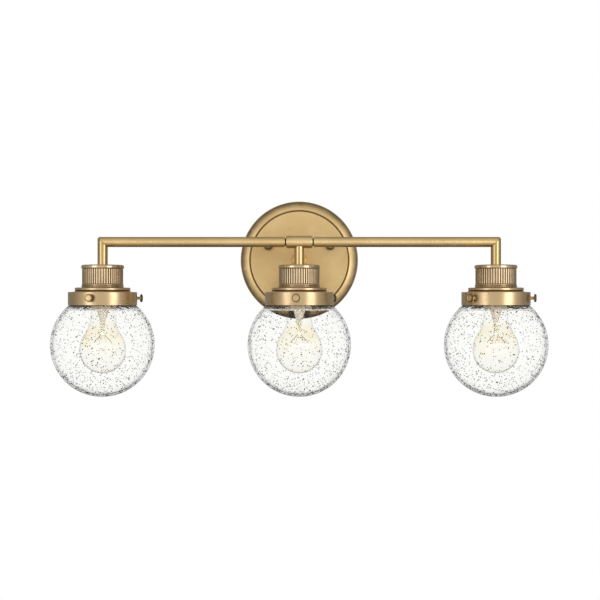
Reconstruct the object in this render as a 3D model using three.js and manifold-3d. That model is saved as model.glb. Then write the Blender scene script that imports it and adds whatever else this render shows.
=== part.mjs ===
// A three-light vanity bar for a bathroom wall: a round canopy carries one short arm, the arm carries a
// level bar of half-inch tube, and three stems hang down from the bar, each with a fluted socket cup, a
// shade holder with three thumb screws, a medium screw socket, a clear lamp and a seeded glass globe.
//
// Frame: millimetres, +Z up, the wall is the plane Y = 0, the light stands out towards -Y, +X is to the
// right of someone facing the wall. The origin is the centre of the canopy in the wall plane.

import * as THREE from 'three';
import { mergeVertices } from 'three/addons/utils/BufferGeometryUtils.js';
import Module from 'manifold-3d';

const wasm = await Module();
wasm.setup();

// ---------------------------------------------------------------- driving dimensions
const OVERALL_WIDTH = 609.6; // 24 in over the two outer globes
const GLOBE_DIAMETER = 127; // 5 in
const PITCH = (OVERALL_WIDTH - GLOBE_DIAMETER) / 2; // lamp axis to lamp axis
const BAR_RISE = 19; // bar axis above the canopy's centre
const REACH = 107; // bar axis out from the wall
const GAP = 0.3; // assembly clearance between neighbouring pieces

// half-inch tube
const TUBE_R = 6.25;
const TUBE_BORE_R = 5.25;
const TUBE_SIDES = 16;

// tee at the middle of the bar
const TEE_R = 7.7;
const TEE_BORE_R = 5.2;
const TEE_HALF_LENGTH = 16.15;
const TEE_CHAMFER = 0.8;
const TEE_TO_BAR = 1.6; // the short neck that shows between the tee and each bar tube

// threaded lamp pipe, 1/8 IP
const PIPE_R = 4.85;
const PIPE_BORE_R = 3.5;
const PIPE_HOLE_R = PIPE_R + GAP;
const PIPE_SIDES = 12;

// canopy and what is behind it
const CANOPY_R = 76.3;
const CANOPY_DEPTH = 20;
const CANOPY_SHEET = 1.2;
const CANOPY_GROOVE_R = 63.9;
const CANOPY_BAND_DROP = 2.6; // the outer band slopes back this far
const BOSS_R = 10.5;
const BOSS_HEIGHT = 9;
const PLATE_R = 54;
const PLATE_THICKNESS = 2;
const PLATE_HOLE_R = 20;
const BOX_SLOT = { from: 33, to: 46.5, radius: 2.4 }; // takes 2 3/4 in and 3 1/2 in box screws
const STUD_X = 40;
const STUD_Z = 19.2;
const STUD_R = 2.05; // 8-32 stud
const CAP_NUT_R = 6.3;
const CAP_NUT_LENGTH = 10;
const GROUND_SCREW_Z = -34;

// one lamp, measured from the bar axis: heights are negative downwards
const STEM_END = -28;
const CUP = { top: -28.3, headBottom: -32.6, fluteBottom: -52.1, bottom: -55.7, sheet: 1.6 };
const CUP_HEAD_R = 26.1;
const CUP_FOOT_R = 25.85;
const FLUTE_COUNT = 50;
const FLUTE_CREST_R = 24.95;
const FLUTE_ROOT_R = 24.05;
const HOLDER = { top: -56.1, flangeBottom: -59.1, cove: -59.9, ringTop: -61.5, bottom: -77.6, sheet: 0.9 };
const HOLDER_FLANGE_R = 33.8;
const HOLDER_RING_R = 42;
const HOLDER_HOLE_R = 19;
const SCREW_HEIGHT = -68.9;
const SCREW_R = 2;
const SCREW_HEAD_R = 4.9;
const SCREW_HEAD_THICKNESS = 2.2;
const SCREW_OUTER_END = 49.2; // from the lamp axis to the outer face of the head
const GLOBE = { centre: -126.3, wall: 2.4, neckTop: -65, neckR: 39.2, neckWall: 2.6 };
const SOCKET = { mouth: -84, shoulder: -50, top: -38, outerR: 15.4, boreR: 14.25, floor: -50.5 };
const SHELL = { top: -57, bottom: -80, outerR: 13.95, boreR: 13.5 };
const BULB_R = 28.5;
const BULB_BOTTOM = -161.1;
const BULB_BASE = { tip: -53.5, top: -58.5, bottom: -81.2, outerR: 13.1, wall: 0.7 };

// each lamp: name, place along the bar, and the azimuth of its first thumb screw, in degrees from the
// front towards +X
const LAMPS = [
  { name: 'left', x: -PITCH, screwAzimuth: -11 },
  { name: 'middle', x: 0, screwAzimuth: -5 },
  { name: 'right', x: PITCH, screwAzimuth: -49 },
];
const SCREW_LETTERS = ['a', 'b', 'c'];

// ---------------------------------------------------------------- finishes
const finish = (color, roughness, metalness, extra = {}) =>
  new THREE.MeshStandardMaterial({ color, roughness, metalness, ...extra });

const BRASS = finish(0xb8904f, 0.38, 1);
const BRIGHT_BRASS = finish(0xc9a862, 0.3, 1);
const STEEL = finish(0xa9abad, 0.45, 1);
const GREEN_SCREW = finish(0x3f7a4a, 0.5, 0.3);
const CERAMIC = finish(0xe4dccb, 0.35, 0);
const SEEDED_GLASS = finish(0xf2f4f4, 0.05, 0, { transparent: true, opacity: 0.3 });
const LAMP_GLASS = finish(0xfff6e4, 0.03, 0, { transparent: true, opacity: 0.35 });
const FILAMENT = finish(0xffd79a, 0.5, 0);

// ---------------------------------------------------------------- shape helpers
// Solid of revolution about Z from [radius, height] points that run up the outside. An outline that
// doesn't start and end on the axis is closed on itself.
function revolve(outline, sides = 24) {
  const points = outline.map(([r, z]) => new THREE.Vector2(r, z));
  const onAxis = outline[0][0] === 0 && outline.at(-1)[0] === 0;
  if (!onAxis) points.push(points[0].clone());
  return new THREE.LatheGeometry(points, sides).rotateX(Math.PI / 2);
}

// Straight pipe about Z.
function pipe(outerR, boreR, bottom, top, sides = TUBE_SIDES) {
  return revolve([[boreR, bottom], [outerR, bottom], [outerR, top], [boreR, top]], sides);
}

// Closed cylinder about Z.
function rod(radius, bottom, top, sides = 12) {
  return revolve([[0, bottom], [radius, bottom], [radius, top], [0, top]], sides);
}

// [radius, height] points on a circular arc, from one angle to the other, in degrees above level.
function arc(centreR, centreZ, radius, from, to, steps) {
  return Array.from({ length: steps + 1 }, (_, i) => {
    const angle = THREE.MathUtils.degToRad(from + ((to - from) * i) / steps);
    return [centreR + radius * Math.cos(angle), centreZ + radius * Math.sin(angle)];
  });
}

// Geometry to a manifold-3d solid, leaving out the empty triangles that lie on a lathe's axis.
function solid(geometry) {
  const bare = geometry.clone();
  bare.deleteAttribute('normal');
  bare.deleteAttribute('uv');
  const merged = mergeVertices(bare, 1e-4);
  const index = merged.index.array;
  const kept = [];
  for (let i = 0; i < index.length; i += 3) {
    const [a, b, c] = index.slice(i, i + 3);
    if (a !== b && b !== c && c !== a) kept.push(a, b, c);
  }
  return new wasm.Manifold(new wasm.Mesh({
    numProp: 3,
    vertProperties: merged.attributes.position.array,
    triVerts: Uint32Array.from(kept),
  }));
}

// manifold-3d solid back to geometry.
function shape(manifold) {
  const mesh = manifold.getMesh();
  const geometry = new THREE.BufferGeometry();
  geometry.setAttribute('position', new THREE.BufferAttribute(new Float32Array(mesh.vertProperties), 3));
  geometry.setIndex(new THREE.BufferAttribute(new Uint32Array(mesh.triVerts), 1));
  geometry.computeVertexNormals();
  return geometry;
}

const cut = (geometry, ...tools) =>
  shape(tools.reduce((left, tool) => left.subtract(solid(tool)), solid(geometry)));
const join = (...pieces) => shape(pieces.map(solid).reduce((whole, piece) => whole.add(piece)));

// Turns a shape made about Z so that its top points along -Y, out from the wall.
const outward = (geometry) => geometry.rotateX(Math.PI / 2);

const light = new THREE.Group();

function add(parent, name, geometry, material) {
  const mesh = new THREE.Mesh(geometry, material);
  mesh.name = name;
  parent.add(mesh);
  return mesh;
}

// ---------------------------------------------------------------- wall side
// Everything here is made about Z with height measured out from the wall, then turned outward. A shape
// turned this way keeps its X, and its Y becomes the height on the wall.

function canopy() {
  const face = CANOPY_DEPTH;
  const edge = CANOPY_DEPTH - CANOPY_BAND_DROP;
  const inner = face - CANOPY_SHEET;
  const dish = revolve([
    [CANOPY_R, 0],
    [CANOPY_R, edge - 1.2],
    [CANOPY_R - 1.2, edge],
    [CANOPY_GROOVE_R + 0.7, face],
    [CANOPY_GROOVE_R, face - 0.8],
    [CANOPY_GROOVE_R - 0.7, face],
    [PIPE_HOLE_R, face],
    [PIPE_HOLE_R, inner],
    [CANOPY_GROOVE_R, inner - 0.8],
    [CANOPY_R - CANOPY_SHEET - 0.6, edge - 2],
    [CANOPY_R - CANOPY_SHEET, 0],
  ], 40);
  const holes = [-STUD_X, STUD_X].map((x) => rod(STUD_R + 0.6, 5, 30).translate(x, STUD_Z, 0));
  return outward(cut(dish, ...holes));
}

// Round strap with a wire hole, two slots for the box screws, two stud holes and a ground screw hole.
function mountingPlate() {
  const disc = pipe(PLATE_R, PLATE_HOLE_R, 0, PLATE_THICKNESS, 28);
  const tools = [];
  for (const side of [-1, 1]) {
    const { from, to, radius } = BOX_SLOT;
    const middle = side * (from + to) / 2;
    tools.push(new THREE.BoxGeometry(to - from - 2 * radius, 2 * radius, 9).translate(middle, 0, 0));
    for (const end of [from + radius, to - radius]) {
      tools.push(rod(radius, -5, 5).translate(side * end, 0, 0));
    }
    tools.push(rod(STUD_R + GAP, -5, 5).translate(side * STUD_X, STUD_Z, 0));
  }
  tools.push(rod(2.2, -5, 5).translate(0, GROUND_SCREW_Z, 0));
  return outward(cut(disc, ...tools));
}

// Stud with a pressed collar in front of the plate.
function canopyStud() {
  const collarBottom = PLATE_THICKNESS + GAP;
  return outward(revolve([
    [0, 0.3],
    [STUD_R, 0.3],
    [STUD_R, collarBottom],
    [3.6, collarBottom],
    [3.6, collarBottom + 2.2],
    [STUD_R, collarBottom + 2.2],
    [STUD_R, CANOPY_DEPTH + 7],
    [0, CANOPY_DEPTH + 7],
  ], 12));
}

// Round cap nut with a blind bore, a waisted foot and a slightly domed face.
function capNut() {
  const foot = CANOPY_DEPTH + GAP;
  const face = foot + CAP_NUT_LENGTH;
  return outward(revolve([
    [STUD_R + GAP, foot],
    [CAP_NUT_R - 1.2, foot],
    [CAP_NUT_R - 1.2, foot + 2],
    [CAP_NUT_R, foot + 3],
    [CAP_NUT_R, face - 1],
    [CAP_NUT_R - 1, face],
    [0, face + 0.4],
    [0, foot + 7.8],
    [STUD_R + GAP, foot + 7.8],
  ], 16));
}

function groundScrew() {
  const under = PLATE_THICKNESS + GAP;
  return outward(revolve([
    [0, 0.3],
    [1.9, 0.3],
    [1.9, under],
    [4, under],
    [4, under + 1.6],
    [3, under + 2.4],
    [0, under + 2.4],
  ], 12));
}

// Trumpet-shaped collar between the canopy and the arm.
function canopyBoss() {
  const foot = CANOPY_DEPTH + GAP;
  return outward(revolve([
    [PIPE_HOLE_R, foot],
    [BOSS_R, foot],
    [BOSS_R, foot + 1.2],
    [BOSS_R - 1.6, foot + 3],
    [BOSS_R - 2.8, foot + 6],
    [BOSS_R - 3.2, foot + BOSS_HEIGHT],
    [PIPE_HOLE_R, foot + BOSS_HEIGHT],
  ], 16));
}

// Hexagon locknut on the lamp pipe, inside the canopy.
function pipeNut(bottom, height) {
  return cut(rod(8, bottom, bottom + height, 6), rod(PIPE_HOLE_R, bottom - 1, bottom + height + 1));
}

// Tube from the boss to the back of the middle stem, its front end coped round the stem.
function arm() {
  const start = CANOPY_DEPTH + BOSS_HEIGHT + 2 * GAP;
  const tube = outward(pipe(TUBE_R, TUBE_BORE_R, start, REACH));
  const stemRoom = rod(TUBE_R + GAP, -20, 20, TUBE_SIDES).translate(0, -REACH, 0);
  return cut(tube, stemRoom);
}

add(light, 'mounting_plate', mountingPlate(), STEEL);
add(light, 'canopy', canopy(), BRASS);
add(light, 'canopy_boss', canopyBoss(), BRASS);
add(light, 'canopy_nipple', outward(pipe(PIPE_R, PIPE_BORE_R, 11, 44, PIPE_SIDES)), STEEL);
add(light, 'canopy_nipple_nut', outward(pipeNut(CANOPY_DEPTH - CANOPY_SHEET - GAP - 3.5, 3.5)), STEEL);
add(light, 'arm_tube', arm(), BRASS);
add(light, 'ground_screw', groundScrew(), GREEN_SCREW).position.z = GROUND_SCREW_Z;
for (const [name, side] of [['left', -1], ['right', 1]]) {
  add(light, `canopy_stud_${name}`, canopyStud(), STEEL).position.set(side * STUD_X, 0, STUD_Z);
  add(light, `cap_nut_${name}`, capNut(), BRASS).position.set(side * STUD_X, 0, STUD_Z);
}

// ---------------------------------------------------------------- bar
// The bar's own frame has its origin on the bar axis at the middle of the light.
const bar = new THREE.Group();
bar.position.set(0, -REACH, BAR_RISE);
light.add(bar);

// Chamfered sleeve along X, bored through, with a wire hole down into the middle stem.
function tee() {
  const sleeve = revolve([
    [TEE_BORE_R, -TEE_HALF_LENGTH],
    [TEE_R - TEE_CHAMFER, -TEE_HALF_LENGTH],
    [TEE_R, -TEE_HALF_LENGTH + TEE_CHAMFER],
    [TEE_R, TEE_HALF_LENGTH - TEE_CHAMFER],
    [TEE_R - TEE_CHAMFER, TEE_HALF_LENGTH],
    [TEE_BORE_R, TEE_HALF_LENGTH],
  ], 20).rotateY(Math.PI / 2);
  return cut(sleeve, rod(4, -12, 0));
}

// Shears one end of a pipe along Z by each point's X, which mitres it at 45 degrees.
function mitreTop(geometry, top, slope) {
  const position = geometry.attributes.position;
  for (let i = 0; i < position.count; i += 1) {
    if (Math.abs(position.getZ(i) - top) < 1e-3) position.setZ(i, top + slope * position.getX(i));
  }
  geometry.computeVertexNormals();
  return geometry;
}

// Bar tube from beside the tee to the mitred corner, side -1 to the left and 1 to the right.
function barTube(side) {
  const start = TEE_HALF_LENGTH + TEE_TO_BAR;
  const corner = PITCH - GAP / 2;
  const tube = mitreTop(pipe(TUBE_R, TUBE_BORE_R, start, corner), corner, -1);
  tube.rotateY(Math.PI / 2);
  return side > 0 ? tube : tube.rotateZ(Math.PI);
}

// Stem from a mitred corner down to the cup.
function cornerStem(side) {
  return mitreTop(pipe(TUBE_R, TUBE_BORE_R, STEM_END, -GAP / 2), -GAP / 2, side);
}

// Stem under the tee: coped to the tee's round at the top, with a wire hole at the back for the arm.
function middleStem() {
  const tube = pipe(TUBE_R, TUBE_BORE_R, STEM_END, -5.3);
  const teeRoom = rod(TEE_R + GAP, -20, 20, 20).rotateY(Math.PI / 2);
  const wireHole = rod(PIPE_BORE_R, 0, 12).rotateX(-Math.PI / 2).translate(0, 0, -BAR_RISE);
  return cut(tube, teeRoom, wireHole);
}

function barNipple(side) {
  const inside = TEE_HALF_LENGTH - 8;
  const outside = TEE_HALF_LENGTH + TEE_TO_BAR + 10;
  const nipple = pipe(PIPE_R, PIPE_BORE_R, inside, outside, PIPE_SIDES).rotateY(Math.PI / 2);
  return side > 0 ? nipple : nipple.rotateZ(Math.PI);
}

add(bar, 'tee_fitting', tee(), BRASS);
add(bar, 'stem_middle', middleStem(), BRASS);
for (const [name, side] of [['left', -1], ['right', 1]]) {
  add(bar, `bar_tube_${name}`, barTube(side), BRASS);
  add(bar, `bar_nipple_${name}`, barNipple(side), STEEL);
  add(bar, `stem_${name}`, cornerStem(side), BRASS).position.x = side * PITCH;
}

// ---------------------------------------------------------------- one lamp
// Fluted wall: a zigzag outline round the cup, extruded down, with the cup's bore through it.
function flutedWall(boreR) {
  const outline = new THREE.Shape();
  for (let i = 0; i < 2 * FLUTE_COUNT; i += 1) {
    const angle = (i * Math.PI) / FLUTE_COUNT;
    const r = i % 2 ? FLUTE_ROOT_R : FLUTE_CREST_R;
    outline[i ? 'lineTo' : 'moveTo'](r * Math.cos(angle), r * Math.sin(angle));
  }
  outline.closePath();
  const bore = new THREE.Path();
  bore.absarc(0, 0, boreR, 0, 2 * Math.PI, true);
  outline.holes.push(bore);
  const depth = CUP.headBottom - CUP.fluteBottom + 1;
  return new THREE.ExtrudeGeometry(outline, { depth, bevelEnabled: false, curveSegments: 12 })
    .translate(0, 0, CUP.fluteBottom - 0.5);
}

function cup() {
  const boreR = FLUTE_ROOT_R - CUP.sheet;
  const head = revolve([
    [PIPE_HOLE_R, CUP.top - CUP.sheet],
    [boreR, CUP.top - CUP.sheet],
    [boreR, CUP.headBottom],
    [CUP_HEAD_R, CUP.headBottom],
    [CUP_HEAD_R, CUP.top - 1.2],
    [CUP_HEAD_R - 1.2, CUP.top],
    [PIPE_HOLE_R, CUP.top],
  ]);
  const foot = revolve([
    [boreR, CUP.bottom],
    [CUP_FOOT_R, CUP.bottom],
    [CUP_FOOT_R, CUP.fluteBottom],
    [boreR, CUP.fluteBottom],
  ]);
  return join(head, flutedWall(boreR), foot);
}

const screwAngles = (lamp) => SCREW_LETTERS.map((_, i) =>
  THREE.MathUtils.degToRad(lamp.screwAzimuth + i * 120));

// Stepped cap: a flange under the cup, and below it the ring that takes the globe's neck.
function shadeHolder(lamp) {
  const { top, flangeBottom, cove, ringTop, bottom, sheet } = HOLDER;
  const cap = revolve([
    [HOLDER_RING_R - sheet, bottom],
    [HOLDER_RING_R, bottom],
    [HOLDER_RING_R, ringTop - 0.8],
    [HOLDER_RING_R - 0.8, ringTop],
    [HOLDER_FLANGE_R + 1.4, ringTop],
    [HOLDER_FLANGE_R - 0.7, cove],
    [HOLDER_FLANGE_R, flangeBottom],
    [HOLDER_FLANGE_R, top - 1.2],
    [HOLDER_FLANGE_R - 1.2, top],
    [HOLDER_HOLE_R, top],
    [HOLDER_HOLE_R, top - 1.4],
    [HOLDER_FLANGE_R - 2.8, top - 1.4],
    [HOLDER_FLANGE_R - 2.8, ringTop - 1.2],
    [HOLDER_RING_R - sheet, ringTop - 1.2],
  ]);
  const holes = screwAngles(lamp).map((angle) =>
    rod(SCREW_R + 0.35, 36, 50).rotateX(Math.PI / 2).rotateZ(angle).translate(0, 0, SCREW_HEIGHT));
  return cut(cap, ...holes);
}

// Thumb screw made about Z with height measured out from the lamp axis.
function thumbScrew() {
  const tip = GLOBE.neckR + 0.45;
  const headInner = SCREW_OUTER_END - SCREW_HEAD_THICKNESS;
  return revolve([
    [0, tip],
    [SCREW_R - 0.5, tip],
    [SCREW_R, tip + 0.5],
    [SCREW_R, headInner],
    [SCREW_HEAD_R, headInner],
    [SCREW_HEAD_R, SCREW_OUTER_END - 0.6],
    [SCREW_HEAD_R - 0.6, SCREW_OUTER_END],
    [0, SCREW_OUTER_END],
  ], 12);
}

// Thin-walled sphere, closed below, with a plain neck that stands up inside the holder.
function globe() {
  const { centre, wall, neckTop, neckR, neckWall } = GLOBE;
  const outerR = GLOBE_DIAMETER / 2;
  const innerR = outerR - wall;
  const neckBoreR = neckR - neckWall;
  const half = (r, neck) => {
    const shoulder = THREE.MathUtils.radToDeg(Math.acos(neck / r));
    const bowl = arc(0, centre, r, -90, 0, 5);
    bowl[0][0] = 0;
    return [...bowl, ...arc(0, centre, r, 0, shoulder, 3).slice(1)];
  };
  const outside = half(outerR, neckR);
  const inside = half(innerR, neckBoreR).reverse();
  return revolve([...outside, [neckR, neckTop], [neckBoreR, neckTop], ...inside]);
}

function socketBody() {
  const { mouth, shoulder, top, outerR, boreR, floor } = SOCKET;
  return revolve([
    [boreR, mouth],
    [outerR, mouth],
    [outerR, shoulder],
    [13, shoulder + 4],
    [7.6, shoulder + 5],
    [7.6, top],
    [PIPE_HOLE_R, top],
    [PIPE_HOLE_R, floor],
    [boreR, floor],
  ], 16);
}

// Springy tongue that meets the lamp's tip.
function socketContact() {
  const side = new THREE.Shape();
  side.moveTo(4.2, -50.9);
  side.lineTo(10, -50.9);
  side.lineTo(10, -51.7);
  side.lineTo(4.6, -51.7);
  side.lineTo(1.5, -52.9);
  side.lineTo(-3, -52.9);
  side.lineTo(-3, -52.1);
  side.lineTo(1.2, -52.1);
  side.closePath();
  const width = 5;
  return new THREE.ExtrudeGeometry(side, { depth: width, bevelEnabled: false })
    .translate(0, 0, -width / 2)
    .rotateX(Math.PI / 2);
}

// Half outline of the lamp's glass, from the bottom up to the neck, drawn in by a wall thickness.
function bulbOutline(inset) {
  const centre = BULB_BOTTOM + BULB_R;
  const round = arc(0, centre, BULB_R - inset, -90, 0, 4);
  round[0][0] = 0;
  const neck = [[25.2, -118], [20.4, -110.4], [17, -103.5], [15.2, -95], [14.4, -87], [13.2, BULB_BASE.bottom - GAP]];
  return [...round, ...neck.map(([r, z]) => [r - inset, z])];
}

function bulbGlass() {
  return revolve([...bulbOutline(0), ...bulbOutline(0.8).reverse()], 16);
}

function bulbBase() {
  const { tip, top, bottom, outerR, wall } = BULB_BASE;
  return revolve([
    [outerR - wall, bottom],
    [outerR, bottom],
    [outerR, top - 1.8],
    [outerR - 2, top],
    [5, tip - 1.2],
    [4.2, tip],
    [0, tip],
    [0, top - 1.5],
    [outerR - wall, top - 2.6],
  ], 16);
}

// Glass stem, two lead wires and the filament between them.
function bulbMount() {
  const stem = revolve([[0, -113], [2.4, -113], [3, -102], [7, -84], [0, -84]], 8);
  const lead = new THREE.CatmullRomCurve3([
    new THREE.Vector3(-1, 0, -110),
    new THREE.Vector3(-6, 0, -116),
    new THREE.Vector3(-11, 0, -124),
    new THREE.Vector3(-9, 0, -129),
    new THREE.Vector3(0, 0, -127),
    new THREE.Vector3(9, 0, -129),
    new THREE.Vector3(11, 0, -124),
    new THREE.Vector3(6, 0, -116),
    new THREE.Vector3(1, 0, -110),
  ]);
  const section = new THREE.Shape().absarc(0, 0, 0.5, 0, 2 * Math.PI);
  const wire = new THREE.ExtrudeGeometry(section, { steps: 12, curveSegments: 2, extrudePath: lead });
  return join(stem, wire);
}

for (const lamp of LAMPS) {
  const unit = new THREE.Group();
  unit.position.x = lamp.x;
  bar.add(unit);
  const { name } = lamp;
  add(unit, `stem_nipple_${name}`, pipe(PIPE_R, PIPE_BORE_R, -46.5, -23.5, PIPE_SIDES), STEEL);
  add(unit, `cup_${name}`, cup(), BRASS);
  add(unit, `shade_holder_${name}`, shadeHolder(lamp), BRASS);
  add(unit, `socket_body_${name}`, socketBody(), CERAMIC);
  add(unit, `socket_shell_${name}`, pipe(SHELL.outerR, SHELL.boreR, SHELL.bottom, SHELL.top), BRIGHT_BRASS);
  add(unit, `socket_contact_${name}`, socketContact(), BRIGHT_BRASS);
  add(unit, `bulb_base_${name}`, bulbBase(), BRIGHT_BRASS);
  add(unit, `bulb_glass_${name}`, bulbGlass(), LAMP_GLASS);
  add(unit, `bulb_mount_${name}`, bulbMount(), FILAMENT);
  add(unit, `globe_${name}`, globe(), SEEDED_GLASS);
  screwAngles(lamp).forEach((angle, i) => {
    const turned = new THREE.Group();
    turned.rotation.z = angle;
    turned.position.z = SCREW_HEIGHT;
    unit.add(turned);
    add(turned, `thumb_screw_${name}_${SCREW_LETTERS[i]}`, outward(thumbScrew()), BRASS);
  });
}

export default light;
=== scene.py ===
"""Looks of a three-light brass vanity bar with seeded glass globes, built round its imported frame."""

import logging
import math
import random
from dataclasses import dataclass, field
from enum import Enum
from typing import Callable, Sequence

import bmesh
import bpy
from mathutils import Matrix, Vector, noise


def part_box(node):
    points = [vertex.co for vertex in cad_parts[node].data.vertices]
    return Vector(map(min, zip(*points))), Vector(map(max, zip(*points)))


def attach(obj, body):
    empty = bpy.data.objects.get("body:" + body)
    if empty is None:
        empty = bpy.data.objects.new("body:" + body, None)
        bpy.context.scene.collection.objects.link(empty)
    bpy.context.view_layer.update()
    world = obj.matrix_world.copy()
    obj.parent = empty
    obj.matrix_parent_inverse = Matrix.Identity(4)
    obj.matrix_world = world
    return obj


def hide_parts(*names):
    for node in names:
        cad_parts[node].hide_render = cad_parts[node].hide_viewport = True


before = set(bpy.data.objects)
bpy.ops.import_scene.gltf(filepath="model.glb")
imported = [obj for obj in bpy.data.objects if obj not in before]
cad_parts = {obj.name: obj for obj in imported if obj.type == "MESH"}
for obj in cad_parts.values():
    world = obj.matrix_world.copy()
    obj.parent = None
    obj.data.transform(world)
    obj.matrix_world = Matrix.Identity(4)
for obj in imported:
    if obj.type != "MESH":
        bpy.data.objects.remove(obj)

log = logging.getLogger("vanity_bar")

MM = 0.001
TURN = 2 * math.pi
# Per-point attribute that darkens brass: patina in hollows, and painted shade in recesses, under heads
# and round edges.
SHADE_AND_PATINA_ATTR = "age"
REACH = 107.0
RISE = 19.0
PITCH = 241.3
GAP = 0.3
TUBE_R = 6.25
TUBE_BORE_R = 5.25
PIPE_R = 4.85
PIPE_BORE_R = 3.5
WHITE = (1.0, 1.0, 1.0)
SIDES = (("left", -1), ("middle", 0), ("right", 1))
OUTER_SIDES = (SIDES[0], SIDES[2])
Point = tuple[float, float]
Corner = tuple[float, float, float]
Colour = tuple[float, float, float]
Ripple = Callable[[float, float, float], float]
EndShape = Callable[[float, float], float]


# ---------------------------------------------------------------------------------- shader tools
class Signal:
    """One output socket of a node, with arithmetic that adds nodes."""

    def __init__(self, graph: "Graph", socket: bpy.types.NodeSocket) -> None:
        """Keep the socket and the graph it belongs to."""
        self.graph = graph
        self.socket = socket

    @property
    def is_vector(self) -> bool:
        """True when the socket carries a vector."""
        return self.socket.type == "VECTOR"

    def _with(self, operation: str, first: object, second: object) -> "Signal":
        """Combine two operands with a Math or a Vector Math node.

        Args:
            operation: the node's operation.
            first: left operand, a signal, a number or a vector.
            second: right operand, of the same kinds.

        Returns:
            The result.
        """
        both = (first, second)
        vector = any(isinstance(v, Signal) and v.is_vector or isinstance(v, tuple) for v in both)
        kind = "ShaderNodeVectorMath" if vector else "ShaderNodeMath"
        values = {}
        for i, v in enumerate(both):
            plain_number = vector and isinstance(v, (int, float))
            values[i] = (v, v, v) if plain_number else v
        return self.graph.node(kind, {"operation": operation}, values)

    def __add__(self, other: object) -> "Signal":
        """Sum."""
        return self._with("ADD", self, other)

    def __radd__(self, other: object) -> "Signal":
        """Sum with the signal on the right."""
        return self._with("ADD", other, self)

    def __sub__(self, other: object) -> "Signal":
        """Difference."""
        return self._with("SUBTRACT", self, other)

    def __rsub__(self, other: object) -> "Signal":
        """Difference with the signal on the right."""
        return self._with("SUBTRACT", other, self)

    def __mul__(self, other: object) -> "Signal":
        """Product."""
        return self._with("MULTIPLY", self, other)

    def __rmul__(self, other: object) -> "Signal":
        """Product with the signal on the right."""
        return self._with("MULTIPLY", other, self)


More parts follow.
